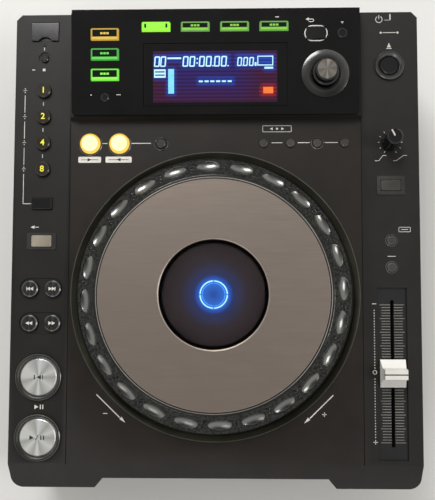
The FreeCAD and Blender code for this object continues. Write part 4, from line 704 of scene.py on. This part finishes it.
grid, in_hollow = grip_surface()
grid = grid * MM + np.array([0, JOG_Y, DECK])
grip_mesh = grid_mesh("wheel_grip", grid)
for material in (GRIP, HOLLOW_SHEEN):
    grip_mesh.materials.append(material)
grip_mesh.polygons.foreach_set("material_index", in_hollow.reshape(-1).astype(np.int32))
grip = stand("wheel_grip", grip_mesh)
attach(grip, "jog")
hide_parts("jog_ring")
print("grip faces", len(grip_mesh.polygons))

# %% [markdown]
# ## Rings round the plate
# Round the plate runs a thin bright ring between two black ones. They turn with the wheel.
# %% Rings round the plate
RING_FOOT = 17.3
PLATE_RINGS = (("plate_outer_ring", 85.1, 86.3, 18.62, DEEP),
               ("plate_bright_ring", 84.5, 85.1, 18.58, SILVER),
               ("plate_inner_ring", 83.8, 84.5, 18.5, DEEP))
for name, inner, outer, top, material in PLATE_RINGS:
    plates(name, arc(0, 0, inner, outer, steps=180), RING_FOOT, top, wheel, material, "jog")
print("rings round the plate", len(PLATE_RINGS))

# %% [markdown]
# ## The wheel's display
# Under the clear disc lies a dark round face that doesn't turn. A blue ring in four parts glows in its
# middle, with a finer ring inside it. The glow round it could be a picture, but a ramp of the distance from
# the middle is smooth at any size.
# %% Wheel display
FACE_REACH = 0.0385
FACE_TONES = [(0.0, (0.004, 0.006, 0.03)), (0.30, (0.010, 0.012, 0.03)), (0.5, (0.020, 0.016, 0.020)),
              (0.8, (0.018, 0.010, 0.008)), (1.0, (0.006, 0.003, 0.003))]
FACE_GLOW = [(0.0, (0.01, 0.06, 0.34)), (0.19, (0.02, 0.14, 0.62)), (0.25, (0.02, 0.26, 1.0)),
             (0.29, (0.0, 0.09, 0.52)), (0.37, (0.004, 0.016, 0.10)), (0.62, (0.008, 0.006, 0.012)),
             (1.0, (0.003, 0.001, 0.001))]


def glow_face():
    """The distance from the middle, over the face's reach, picks the tone and the glow from two ramps."""
    material, tree, shader = node_material("wheel_face")
    level = vector_step(tree, "MULTIPLY", centred(tree, (0, JOG_Y)), (1, 1, 0))
    share = remap(tree, vector_step(tree, "LENGTH", level), 0.0, FACE_REACH, 0.0, 1.0)
    put(shader, {"Base Color": ramp(tree, share, FACE_TONES), "Emission Color": ramp(tree, share, FACE_GLOW),
                 "Emission Strength": 0.9, "Roughness": 0.3})
    return material


def quarter_rings(inner, outer):
    """Four arcs with small gaps between them."""
    return [piece for k in range(4) for piece in arc(0, 0, inner, outer, 92.5 + 90 * k, 177.5 + 90 * k, 14)]


FACE_RISE = (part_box("jog_display")[1].z - DECK) / MM
FACE_TOP = FACE_RISE + 0.6
plates("wheel_face", [disc(0, 0, 38.6, 96)], FACE_RISE + 0.1, FACE_TOP, wheel, glow_face(), "root")
plates("wheel_glow_ring", quarter_rings(9.4, 10.2), FACE_TOP, FACE_TOP + 0.2, wheel, CYAN)
plates("wheel_fine_ring", quarter_rings(8.0, 8.15), FACE_TOP, FACE_TOP + 0.15, wheel, BLUE)
print("wheel face at", round(FACE_RISE, 2), "mm over the deck")

# %% [markdown]
# ## Figures
# Four keys carry a plain lit number for a count of beats. Blender's own font gives the outline: the text
# becomes a mesh first, and its place is applied after that. Each figure rides on its key.
# %% Figures from the built-in font
FONT_SIZE, FONT_WEIGHT = 1.38, 0.022


def figure(name, text, x, y, height, place, material, body, low, high):
    """A figure of the built-in font as a thin plate, centred on a place."""
    curve = bpy.data.curves.new(name, "FONT")
    curve.body = text
    curve.align_x, curve.align_y = "CENTER", "CENTER"
    curve.size = height * FONT_SIZE
    curve.extrude = (high - low) / 2
    curve.offset = FONT_WEIGHT * height
    source = stand(name + "_text", curve)
    bpy.context.view_layer.update()
    mesh = bpy.data.meshes.new_from_object(source.evaluated_get(bpy.context.evaluated_depsgraph_get()))
    bpy.data.objects.remove(source)
    points = np.empty(len(mesh.vertices) * 3)
    mesh.vertices.foreach_get("co", points)
    points = points.reshape(-1, 3)
    middle = (points.min(0) + points.max(0)) / 2
    points = points - middle + np.array([x, y, (low + high) / 2])
    mesh.vertices.foreach_set("co", place(points).reshape(-1))
    mesh.materials.clear()
    mesh.materials.append(material)
    mesh.name = name
    item = stand(name, mesh)
    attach(item, body)


def cap_place(node):
    """The middle of a button's top in deck millimetres, and its height over the deck."""
    x, y, z = box_middle(node)
    return x / MM, y / MM, (z - DECK) / MM


BEATS = (1, 2, 4, 8)
for number in BEATS:
    key = f"beat_{number}"
    x, y, rise = cap_place(key)
    figure(f"figure_{number}", str(number), x, y, 4.6, on_deck, YELLOW, key, rise - 0.05, rise + 0.06)
print("figures", len(BEATS))

# %% [markdown]
# ## Print on the left column
# Fine white lines say which keys belong together: short ones join the four beat keys, and a longer one with
# two dots and a dash at each key runs down their side. Arrows and bars mark the keys in front. All of it is
# one plate with many outlines, because it is one printing on one piece.
# %% Left column print
LEFT = -130.9
SIDE = -145.0
LINE = 0.25
beats = [cap_place(f"beat_{number}")[1] for number in BEATS]
left = [rect(LEFT - LINE, LEFT + LINE, (a + b) / 2 - 1.4, (a + b) / 2 + 1.4)
        for a, b in zip(beats, beats[1:])]
left += [rect(SIDE - LINE, SIDE + LINE, 33.7, beats[3] - 3.5), rect(SIDE - LINE, SIDE + 6.2, 33.4, 33.9)]
left += [rect(SIDE - LINE, SIDE + LINE, b + 3.4, a - 3.4) for a, b in zip(beats, beats[1:])]
left += [rect(LEFT - 0.3, LEFT + 0.3, 151.6, 154.0), rect(-140.0, -137.8, 136.3, 136.9),
         rect(-131.9, -129.9, 135.6, 137.6)]
left += [stroke((SIDE - 1.4, y + 0.4), (SIDE + 1.4, y + 0.4), 0.35) for y in beats]
left += [disc(SIDE, y + shift, 0.45, 12) for shift in (1.7, -1.1) for y in beats]
left += [arrow(-137.4, 15.8, 3.0, 2.6, 180), rect(-136.2, -132.6, 15.55, 16.05)]
left += [arrow(-131.9, -118.1, 3.0, 3.2)] + [rect(x, x + 0.8, -119.7, -116.5) for x in (-129.4, -127.6)]
plates("print_left", left, INK_LOW, INK_HIGH, on_deck, WHITE_INK)
plates("stick_lamp", [disc(LEFT, 155.8, 1.1, 20)], -0.1, 0.35, on_deck, DEEP)
print("shapes on the left column", len(left))

# %% [markdown]
# ## Print on the deck
# Behind the wheel, lines join the keys of a row, and two white labels lie beside a pair of them. In front of
# the wheel, two slanting strokes with arrows, a minus and a plus say what turning it does.
# %% Deck print
ROW = 79.4
deck = [rect(x0, x1, ROW - 0.3, ROW + 0.3) for x0, x1 in ((-86.4, -81.6), (-63.6, -48.6))]
deck += [rect(x0, x1, ROW - 0.25, ROW + 0.25) for x0, x1 in ((42.4, 50.4), (62.0, 71.0), (82.4, 92.0))]
deck += [stroke((-87.4, -108.8), (-70.0, -125.6), 0.75), stroke((87.2, -108.8), (70.0, -125.6), 0.75)]
deck += [arrow(-67.6, -127.6, 5.0, 2.4, -44), arrow(67.6, -127.6, 5.0, 2.4, 224)]
deck += [rect(-82.4, -79.2, -123.0, -122.4), rect(79.0, 82.2, -123.1, -122.5)]
deck += [rect(80.3, 80.9, -124.4, -121.2)]
deck += frame_of(35.6, 57.4, 87.6, 92.6, 0.35)
deck += [arrow(42.2, 90.1, 2.2, 2.2, 180), arrow(50.8, 90.1, 2.2, 2.2), disc(46.5, 90.1, 0.8, 16)]
plates("print_deck", deck, INK_LOW, INK_HIGH, on_deck, WHITE_INK)
labels = [soft_rect(-103.6, -86.3, 64.7, 69.3, 0.9), soft_rect(-82.9, -63.1, 64.7, 69.3, 0.9)]
plates("label_plates", labels, INK_LOW, INK_HIGH, on_deck, LABEL)
marks = [rect(-101.5, -88.5, 66.75, 67.2), arrow(-95.0, 67.0, 3.0, 2.6)]
marks += [rect(-80.6, -65.4, 66.75, 67.2), arrow(-73.0, 67.0, 3.0, 2.6, 180)]
plates("label_marks", marks, INK_LOW, INK_HIGH + 0.03, on_deck, DARK_INK)
print("shapes on the deck", len(deck) + len(labels) + len(marks))

# %% [markdown]
# ## Print on the right column
# The speed knob has a dial of eleven strokes, and two small drawings beside it show a slow and a quick rise.
# Small symbols mark the keys round it, and a row of dots with marks at its ends runs beside the fader.
# %% Right column print
RIGHT = 131.2
SPEED_Y = 79.4
right = []
for k in range(11):
    a = math.radians(240 - 30 * k)
    near, far = ((RIGHT + r * math.cos(a), SPEED_Y + r * math.sin(a)) for r in (8.0, 9.2))
    right.append(stroke(near, far, 0.4))
for x0, x1, x2, x3 in ((119.6, 122.6, 125.6, 128.2), (133.4, 135.6, 141.0, 143.6)):
    right += [rect(x0, x1, 65.2, 65.6), stroke((x1, 65.4), (x2, 69.4), 0.4), rect(x2, x3, 69.2, 69.6)]
right += arc(123.9, 173.9, 2.2, 2.7, 120, 420, 22) + [rect(123.65, 124.15, 174.2, 177.2)]
right += [rect(128.0, 132.6, 173.2, 173.5), rect(131.9, 132.7, 173.2, 178.0)]
right += [rect(126.6, 136.4, 163.4, 163.9), disc(125.2, 163.6, 0.8, 14), disc(137.8, 163.6, 0.8, 14)]
right += [arrow(RIGHT, 154.0, 3.6, 3.0, 90), rect(RIGHT - 2.0, RIGHT + 2.0, 151.0, 151.6)]
right += frame_of(136.6, 145.4, 11.7, 15.45, 0.35)
right += [stroke((138.4, 13.6), (143.6, 13.6), 0.4), stroke((RIGHT - 3, -6.4), (RIGHT + 3, -6.4), 0.4)]
SCALE_TOP, SCALE_LOW, SCALE_X = -42.4, -143.2, 117.8
right += [rect(SCALE_X - 1.6, SCALE_X + 1.6, y, y + 0.5) for y in (-41.9, -142.9)]
right += [rect(SCALE_X - 0.25, SCALE_X + 0.25, -144.2, -141.0)]
dots = [SCALE_TOP + (SCALE_LOW - SCALE_TOP) * k / 50 for k in range(2, 49) if abs(k - 25) > 1]
right += [disc(SCALE_X, y, 0.42, 10) for y in dots] + arc(SCALE_X, -91.9, 1.1, 1.6)
plates("print_right", right, INK_LOW, INK_HIGH, on_deck, WHITE_INK)
print("shapes on the right column", len(right), "dots", len(dots))

# %% [markdown]
# ## The fader's ladder
# On both sides of the fader's slot is a ladder of fine lines in a duller ink, and each fifth line is longer.
# They lie on the fader's plate, which is sunk a millimetre into the column.
# %% Fader ladder
FADER_X, FADER_Y = 131.1, -92.8
FADER_FACE = -1.0
STEP, SLOT_HALF = 2.016, 1.4
ladder = []
for k in range(51):
    y = FADER_Y + 50.4 - k * STEP
    reach = 7.6 if k % 5 == 0 else 6.5
    for x0, x1 in ((-SLOT_HALF - reach, -SLOT_HALF), (SLOT_HALF, SLOT_HALF + reach)):
        ladder.append(rect(FADER_X + x0, FADER_X + x1, y - 0.2, y + 0.2))
plates("fader_ladder", ladder, FADER_FACE - 0.02, FADER_FACE + 0.05, on_deck, LADDER_INK)
print("ladder lines", len(ladder))

# %% [markdown]
# ## Marks on the caps
# Arrows and bars are printed on the transport buttons, and the speed knob and the fader's cap have a line
# each. Each mark rides on its own button, so it goes down with it.
# %% Cap marks
def cap_marks(node, shapes, material):
    """Marks given about a cap's middle, laid on its top."""
    x, y, rise = cap_place(node)
    moved = [[(px + x, py + y) for px, py in np.asarray(shape)] for shape in shapes]
    plates("mark_" + node, moved, rise - 0.05, rise + 0.05, on_deck, material, node)


pause = [rect(2.2, 3.1, -1.7, 1.7), rect(4.2, 5.1, -1.7, 1.7)]
cap_marks("play", [arrow(-4.2, 0, 3.2, 3.4), stroke((-1.4, -1.9), (0.6, 1.9), 0.5)] + pause, DARK_INK)
stops = [rect(-3.4, -2.6, -1.7, 1.7), arrow(0.2, 0, 3.4, 3.4, 180), rect(2.8, 3.4, -1.7, 1.7)]
cap_marks("cue", stops, DARK_INK)
for side, turn, way in (("back", 180, -1), ("forward", 0, 1)):
    pair = [arrow(-1.5 * way, 0, 2.5, 2.7, turn), arrow(0.9 * way, 0, 2.5, 2.7, turn)]
    cap_marks("track_" + side, pair + [rect(2.1 * way - 0.3, 2.1 * way + 0.3, -1.3, 1.3)], LABEL)
    cap_marks("search_" + side, [arrow(x * way, 0, 2.6, 2.7, turn) for x in (-1.2, 1.3)], LABEL)
x, y, rise = cap_place("speed_knob")
pointer = stroke((x - 0.2, y + 0.2), (x - 2.5, y + 4.7), 1.1)
plates("speed_line", [pointer], rise - 0.05, rise + 0.05, on_deck, WHITE_INK, "speed_knob")
x, y, rise = cap_place("fader_cap")
middle_line = rect(x - 8.6, x + 8.6, y - 0.42, y + 0.42)
plates("fader_line", [middle_line], rise - 0.6, rise + 0.05, on_deck, DEEP, "fader_cap")
print("marked caps", 8)

# %% [markdown]
# ## The screen's ground
# A fluorescent screen glows faintly round whatever is lit on it: blue round the figures, red-violet at the
# sides and red at one lamp, with fine lines across. A lit plate under each figure would end in a hard edge,
# so the glow is part of the ground's own finish: it falls off with the distance from the nearest lit box.
# %% Screen ground
def glow_round(tree, boxes, reach):
    """One inside the boxes, falling to nothing over a reach: the distance from a box is the length of what
    is left of |place - middle| less half the box's size."""
    total = None
    for x0, x1, near, far in boxes:
        low, high = on_panel(np.array([[x0, near, 0.0], [x1, far, 0.0]]))
        value = vector_step(tree, "SUBTRACT", place_on_piece(tree), (low + high) / 2)
        value = vector_step(tree, "SUBTRACT", vector_step(tree, "ABSOLUTE", value), (high - low) / 2)
        value = vector_step(tree, "MULTIPLY", vector_step(tree, "MAXIMUM", value, (0, 0, 0)), (1, 1, 0))
        near_box = remap(tree, vector_step(tree, "LENGTH", value), 0.0, reach, 1.0, 0.0)
        total = near_box if total is None else combine(tree, "MAXIMUM", total, near_box)
    return total


MIDDLE_BOX = [(-24.0, 14.0, 26.0, 44.0)]
LIT_BOXES = [(-44.6, -37.4, 37.0, 43.0), (-34.5, -26.0, 41.5, 43.0), (-23.4, 9.4, 37.0, 43.0),
             (17.2, 43.0, 37.0, 43.0), (-45.0, -37.4, 28.4, 33.6), (-34.2, -31.2, 16.6, 33.6),
             (-11.4, 12.6, 24.0, 26.0), (37.6, 43.0, 34.2, 36.0)]
LAMP_BOX = [(36.6, 42.8, 16.4, 19.8)]
VIOLET, DIM_BLUE = (0.045, 0.003, 0.030), (0.022, 0.008, 0.115)
LIT_BLUE, LIT_RED = (0.010, 0.050, 0.40), (0.36, 0.012, 0.010)


def screen_finish():
    """Three soft glows, one over the other, times a wave up the slope for the fine lines."""
    material, tree, shader = node_material("screen_ground")
    wide = blend(tree, glow_round(tree, MIDDLE_BOX, 0.020), VIOLET, DIM_BLUE)
    blue = blend(tree, glow_round(tree, LIT_BOXES, 0.0036), wide, LIT_BLUE)
    red = blend(tree, glow_round(tree, LAMP_BOX, 0.0045), blue, LIT_RED)
    lines = add(tree, "TexWave", {"Vector": place_on_piece(tree), "Scale": 115.0}, bands_direction="Y")
    put(shader, {"Base Color": (0.004, 0.003, 0.006, 1), "Roughness": 0.14, "Emission Color": red,
                 "Emission Strength": span(tree, lines.outputs["Fac"], 0.5, 1.3)})
    return material


GROUND = rect(-46.2, 46.4, 9.4, 47.4)
plates("screen_ground", [GROUND], -0.25, -0.12, on_panel, screen_finish())
print("screen glows round", len(LIT_BOXES), "lit boxes")

# %% [markdown]
# ## The screen's figures
# The figures are plain noughts, each of six short bars that lean a little, as such a screen draws them. With
# them are points, frames, a row of blocks, an upright bar and one orange lamp.
# %% Screen figures
def nought(x, y, width, height, weight):
    """Six bars round a slanting box: the two sides in halves, and the two ends."""
    lean = height * 0.08
    near_left, mid_left, far_left = [(x + lean * k / 2, y + height * k / 2) for k in range(3)]
    near_right, mid_right, far_right = [(x + width + lean * k / 2, y + height * k / 2) for k in range(3)]
    ends = ((far_left, far_right), (mid_right, far_right), (near_right, mid_right), (near_left, near_right),
            (near_left, mid_left), (mid_left, far_left))
    return [stroke(a, b, weight) for a, b in ends]


figures = []
for x in (-45.1, -40.5, -23.8, -18.8, -11.6, -6.5, -0.3, 4.8):
    figures += nought(x, 36.3, 3.3, 6.9, 0.95)
figures += [rect(-13.8, -12.8, 38.0, 39.0), rect(-13.6, -12.6, 41.2, 42.2)]
figures += [rect(-1.9, -1.0, 36.0, 36.9), rect(9.3, 10.2, 36.0, 36.9)]
for x in (16.9, 21.3, 25.7):
    figures += nought(x, 36.5, 2.6, 5.8, 0.8)
figures += [rect(20.4, 21.0, 36.1, 36.8), rect(29.6, 31.0, 36.2, 38.8)]
figures += [rect(-35.4, -25.2, 41.6, 42.8), rect(36.9, 43.4, 34.0, 35.4)]
figures += frame_of(31.6, 43.4, 36.4, 43.6, 0.7)
figures += [rect(-45.4, -36.8, y, y + 1.4) for y in (27.8, 30.2, 32.6)]
figures += [rect(x, x + 0.7, 27.8, 34.0) for x in (-45.4, -37.5)]
figures += [rect(-12.0 + k * 4.3, -9.0 + k * 4.3, 24.3, 25.5) for k in range(6)]
plates("screen_figures", figures, -0.10, -0.04, on_panel, CYAN)
plates("screen_bar", [rect(-34.9, -30.5, 15.9, 34.2)], -0.10, -0.04, on_panel, BAR)
plates("screen_lamp", [rect(36.0, 43.4, 15.7, 20.5)], -0.10, -0.04, on_panel, ORANGE)
print("bars on the screen", len(figures))

# %% [markdown]
# ## Lit caps
# A source key or menu key is a coloured cap with a lamp under it. Its front edge glows most, and a dark
# window in its top holds a plain mark of three blocks. One menu key is lit all over, so only two dark bars at
# its sides are left of the window. The caps lie on the sloping panel, so their marks use the panel's map.
# %% Lit caps
CAP_RISE = 1.0


def lit_cap(node, x, along, size, edge, all_over=False):
    """A strip along the front edge, a window or two bars behind it, and three blocks in the middle."""
    w, d = size[0] / 2, size[1] / 2
    front = rect(x - w + 0.9, x + w - 0.9, along - d + 0.75, along - d + 2.1)
    if all_over:
        bars = (x - w + 2.6, x + w - 2.6)
        dark = [rect(bar - 0.7, bar + 0.7, along - d + 2.5, along + d - 1.5) for bar in bars]
    else:
        dark = [rect(x - w + 1.25, x + w - 1.25, along - d + 2.5, along + d - 1.2)]
    blocks = [rect(x - 3.2 + k * 2.3, x - 1.4 + k * 2.3, along - 0.25, along + 1.25) for k in range(3)]
    layers = (("_edge", [front], 0.04, edge), ("_window", dark, 0.04, SHADE), ("_mark", blocks, 0.07, edge))
    for end, shapes, top, material in layers:
        plates(node + end, shapes, CAP_RISE - 0.05, CAP_RISE + top, on_panel, material, node)


SOURCE_X, SOURCE_SIZE = -82.3, (20.8, 8.8)
MENU_PITCH, MENU_ALONG, MENU_SIZE = 29.3, 65.6, (21.0, 7.0)
SOURCES = (("link_source", 60.3, AMBER_EDGE), ("usb_source", 45.4, GREEN_EDGE),
           ("disc_source", 30.2, LIME_EDGE))
for node, along, edge in SOURCES:
    lit_cap(node, SOURCE_X, along, SOURCE_SIZE, edge)
lit_cap("browse", -1.5 * MENU_PITCH, MENU_ALONG, MENU_SIZE, BRIGHT, all_over=True)
for k, node in enumerate(("tag_list", "info", "menu")):
    lit_cap(node, (k - 0.5) * MENU_PITCH, MENU_ALONG, MENU_SIZE, OLIVE_EDGE)
print("lit caps", len(SOURCES) + 4)

# %% [markdown]
# ## Print on the display panel
# A thin white oval runs round one key, and small arrows, bars and a dot mark others. The oval is a band
# between two soft rectangles, one inside the other.
# %% Panel print
def band_between(outer, inner):
    """A band between two outlines of as many points, as one thin piece per side."""
    count = len(outer)
    return [[outer[k], outer[(k + 1) % count], inner[(k + 1) % count], inner[k]] for k in range(count)]


BACK_X, BACK_ALONG = 75.1, 60.0
OVAL_LINE = 0.75
ovals = []
for inset in (0.0, OVAL_LINE):
    w, d = 8.6 - inset, 5.9 - inset
    ovals.append(soft_rect(BACK_X - w, BACK_X + w, BACK_ALONG - d, BACK_ALONG + d, 5.85 - inset, 10))
panel = band_between(*ovals)
panel += [rect(44.9, 47.6, 71.9, 72.5), arrow(68.6, 70.4, 2.4, 2.4, 180), rect(69.4, 72.4, 70.1, 70.7)]
panel += [rect(69.8, 72.4, 68.3, 68.8)] + arc(72.3, 69.5, 0.75, 1.25, -90, 90, 10)
panel += [disc(SOURCE_X - 10.4, 15.2, 0.5, 10), rect(SOURCE_X + 8.6, SOURCE_X + 12.0, 15.0, 15.6)]
panel += [arrow(94.5, 67.6, 1.8, 2.2, -90)]
plates("print_panel", panel, INK_LOW, INK_HIGH, on_panel, WHITE_INK)
print("shapes on the panel", len(panel))

# %% [markdown]
# ## Selector and loop keys
# The selector knob ends in a disc of turned metal with painted glints, parallel to the sloping panel. The
# two loop keys are lit from below: the rim is amber, and a round glow on top is nearly white. Each plate
# rides on its own piece.
# %% Selector and loop keys
SELECTOR_X, SELECTOR_ALONG, SELECTOR_TOP = 82.1, 30.1, 11.3
# The selector's disc carries painted glints: light and dark rays in its colour.
selector_metal = turned_metal("selector_metal", box_middle("selector_knob")[:2], (0.34, 0.31, 0.27), 0.28)
plates("selector_cap", [disc(SELECTOR_X, SELECTOR_ALONG, 7.1, 60)], SELECTOR_TOP - 0.05, SELECTOR_TOP + 0.03,
       on_panel, selector_metal, "selector_knob")
for side in ("in", "out"):
    x, y, rise = cap_place("loop_" + side)
    plates("loop_glow_" + side, [disc(x, y, 5.9, 40)], rise - 0.05, rise + 0.04, on_deck, HOT, "loop_" + side)
print("selector's top", SELECTOR_TOP, "mm over the panel")
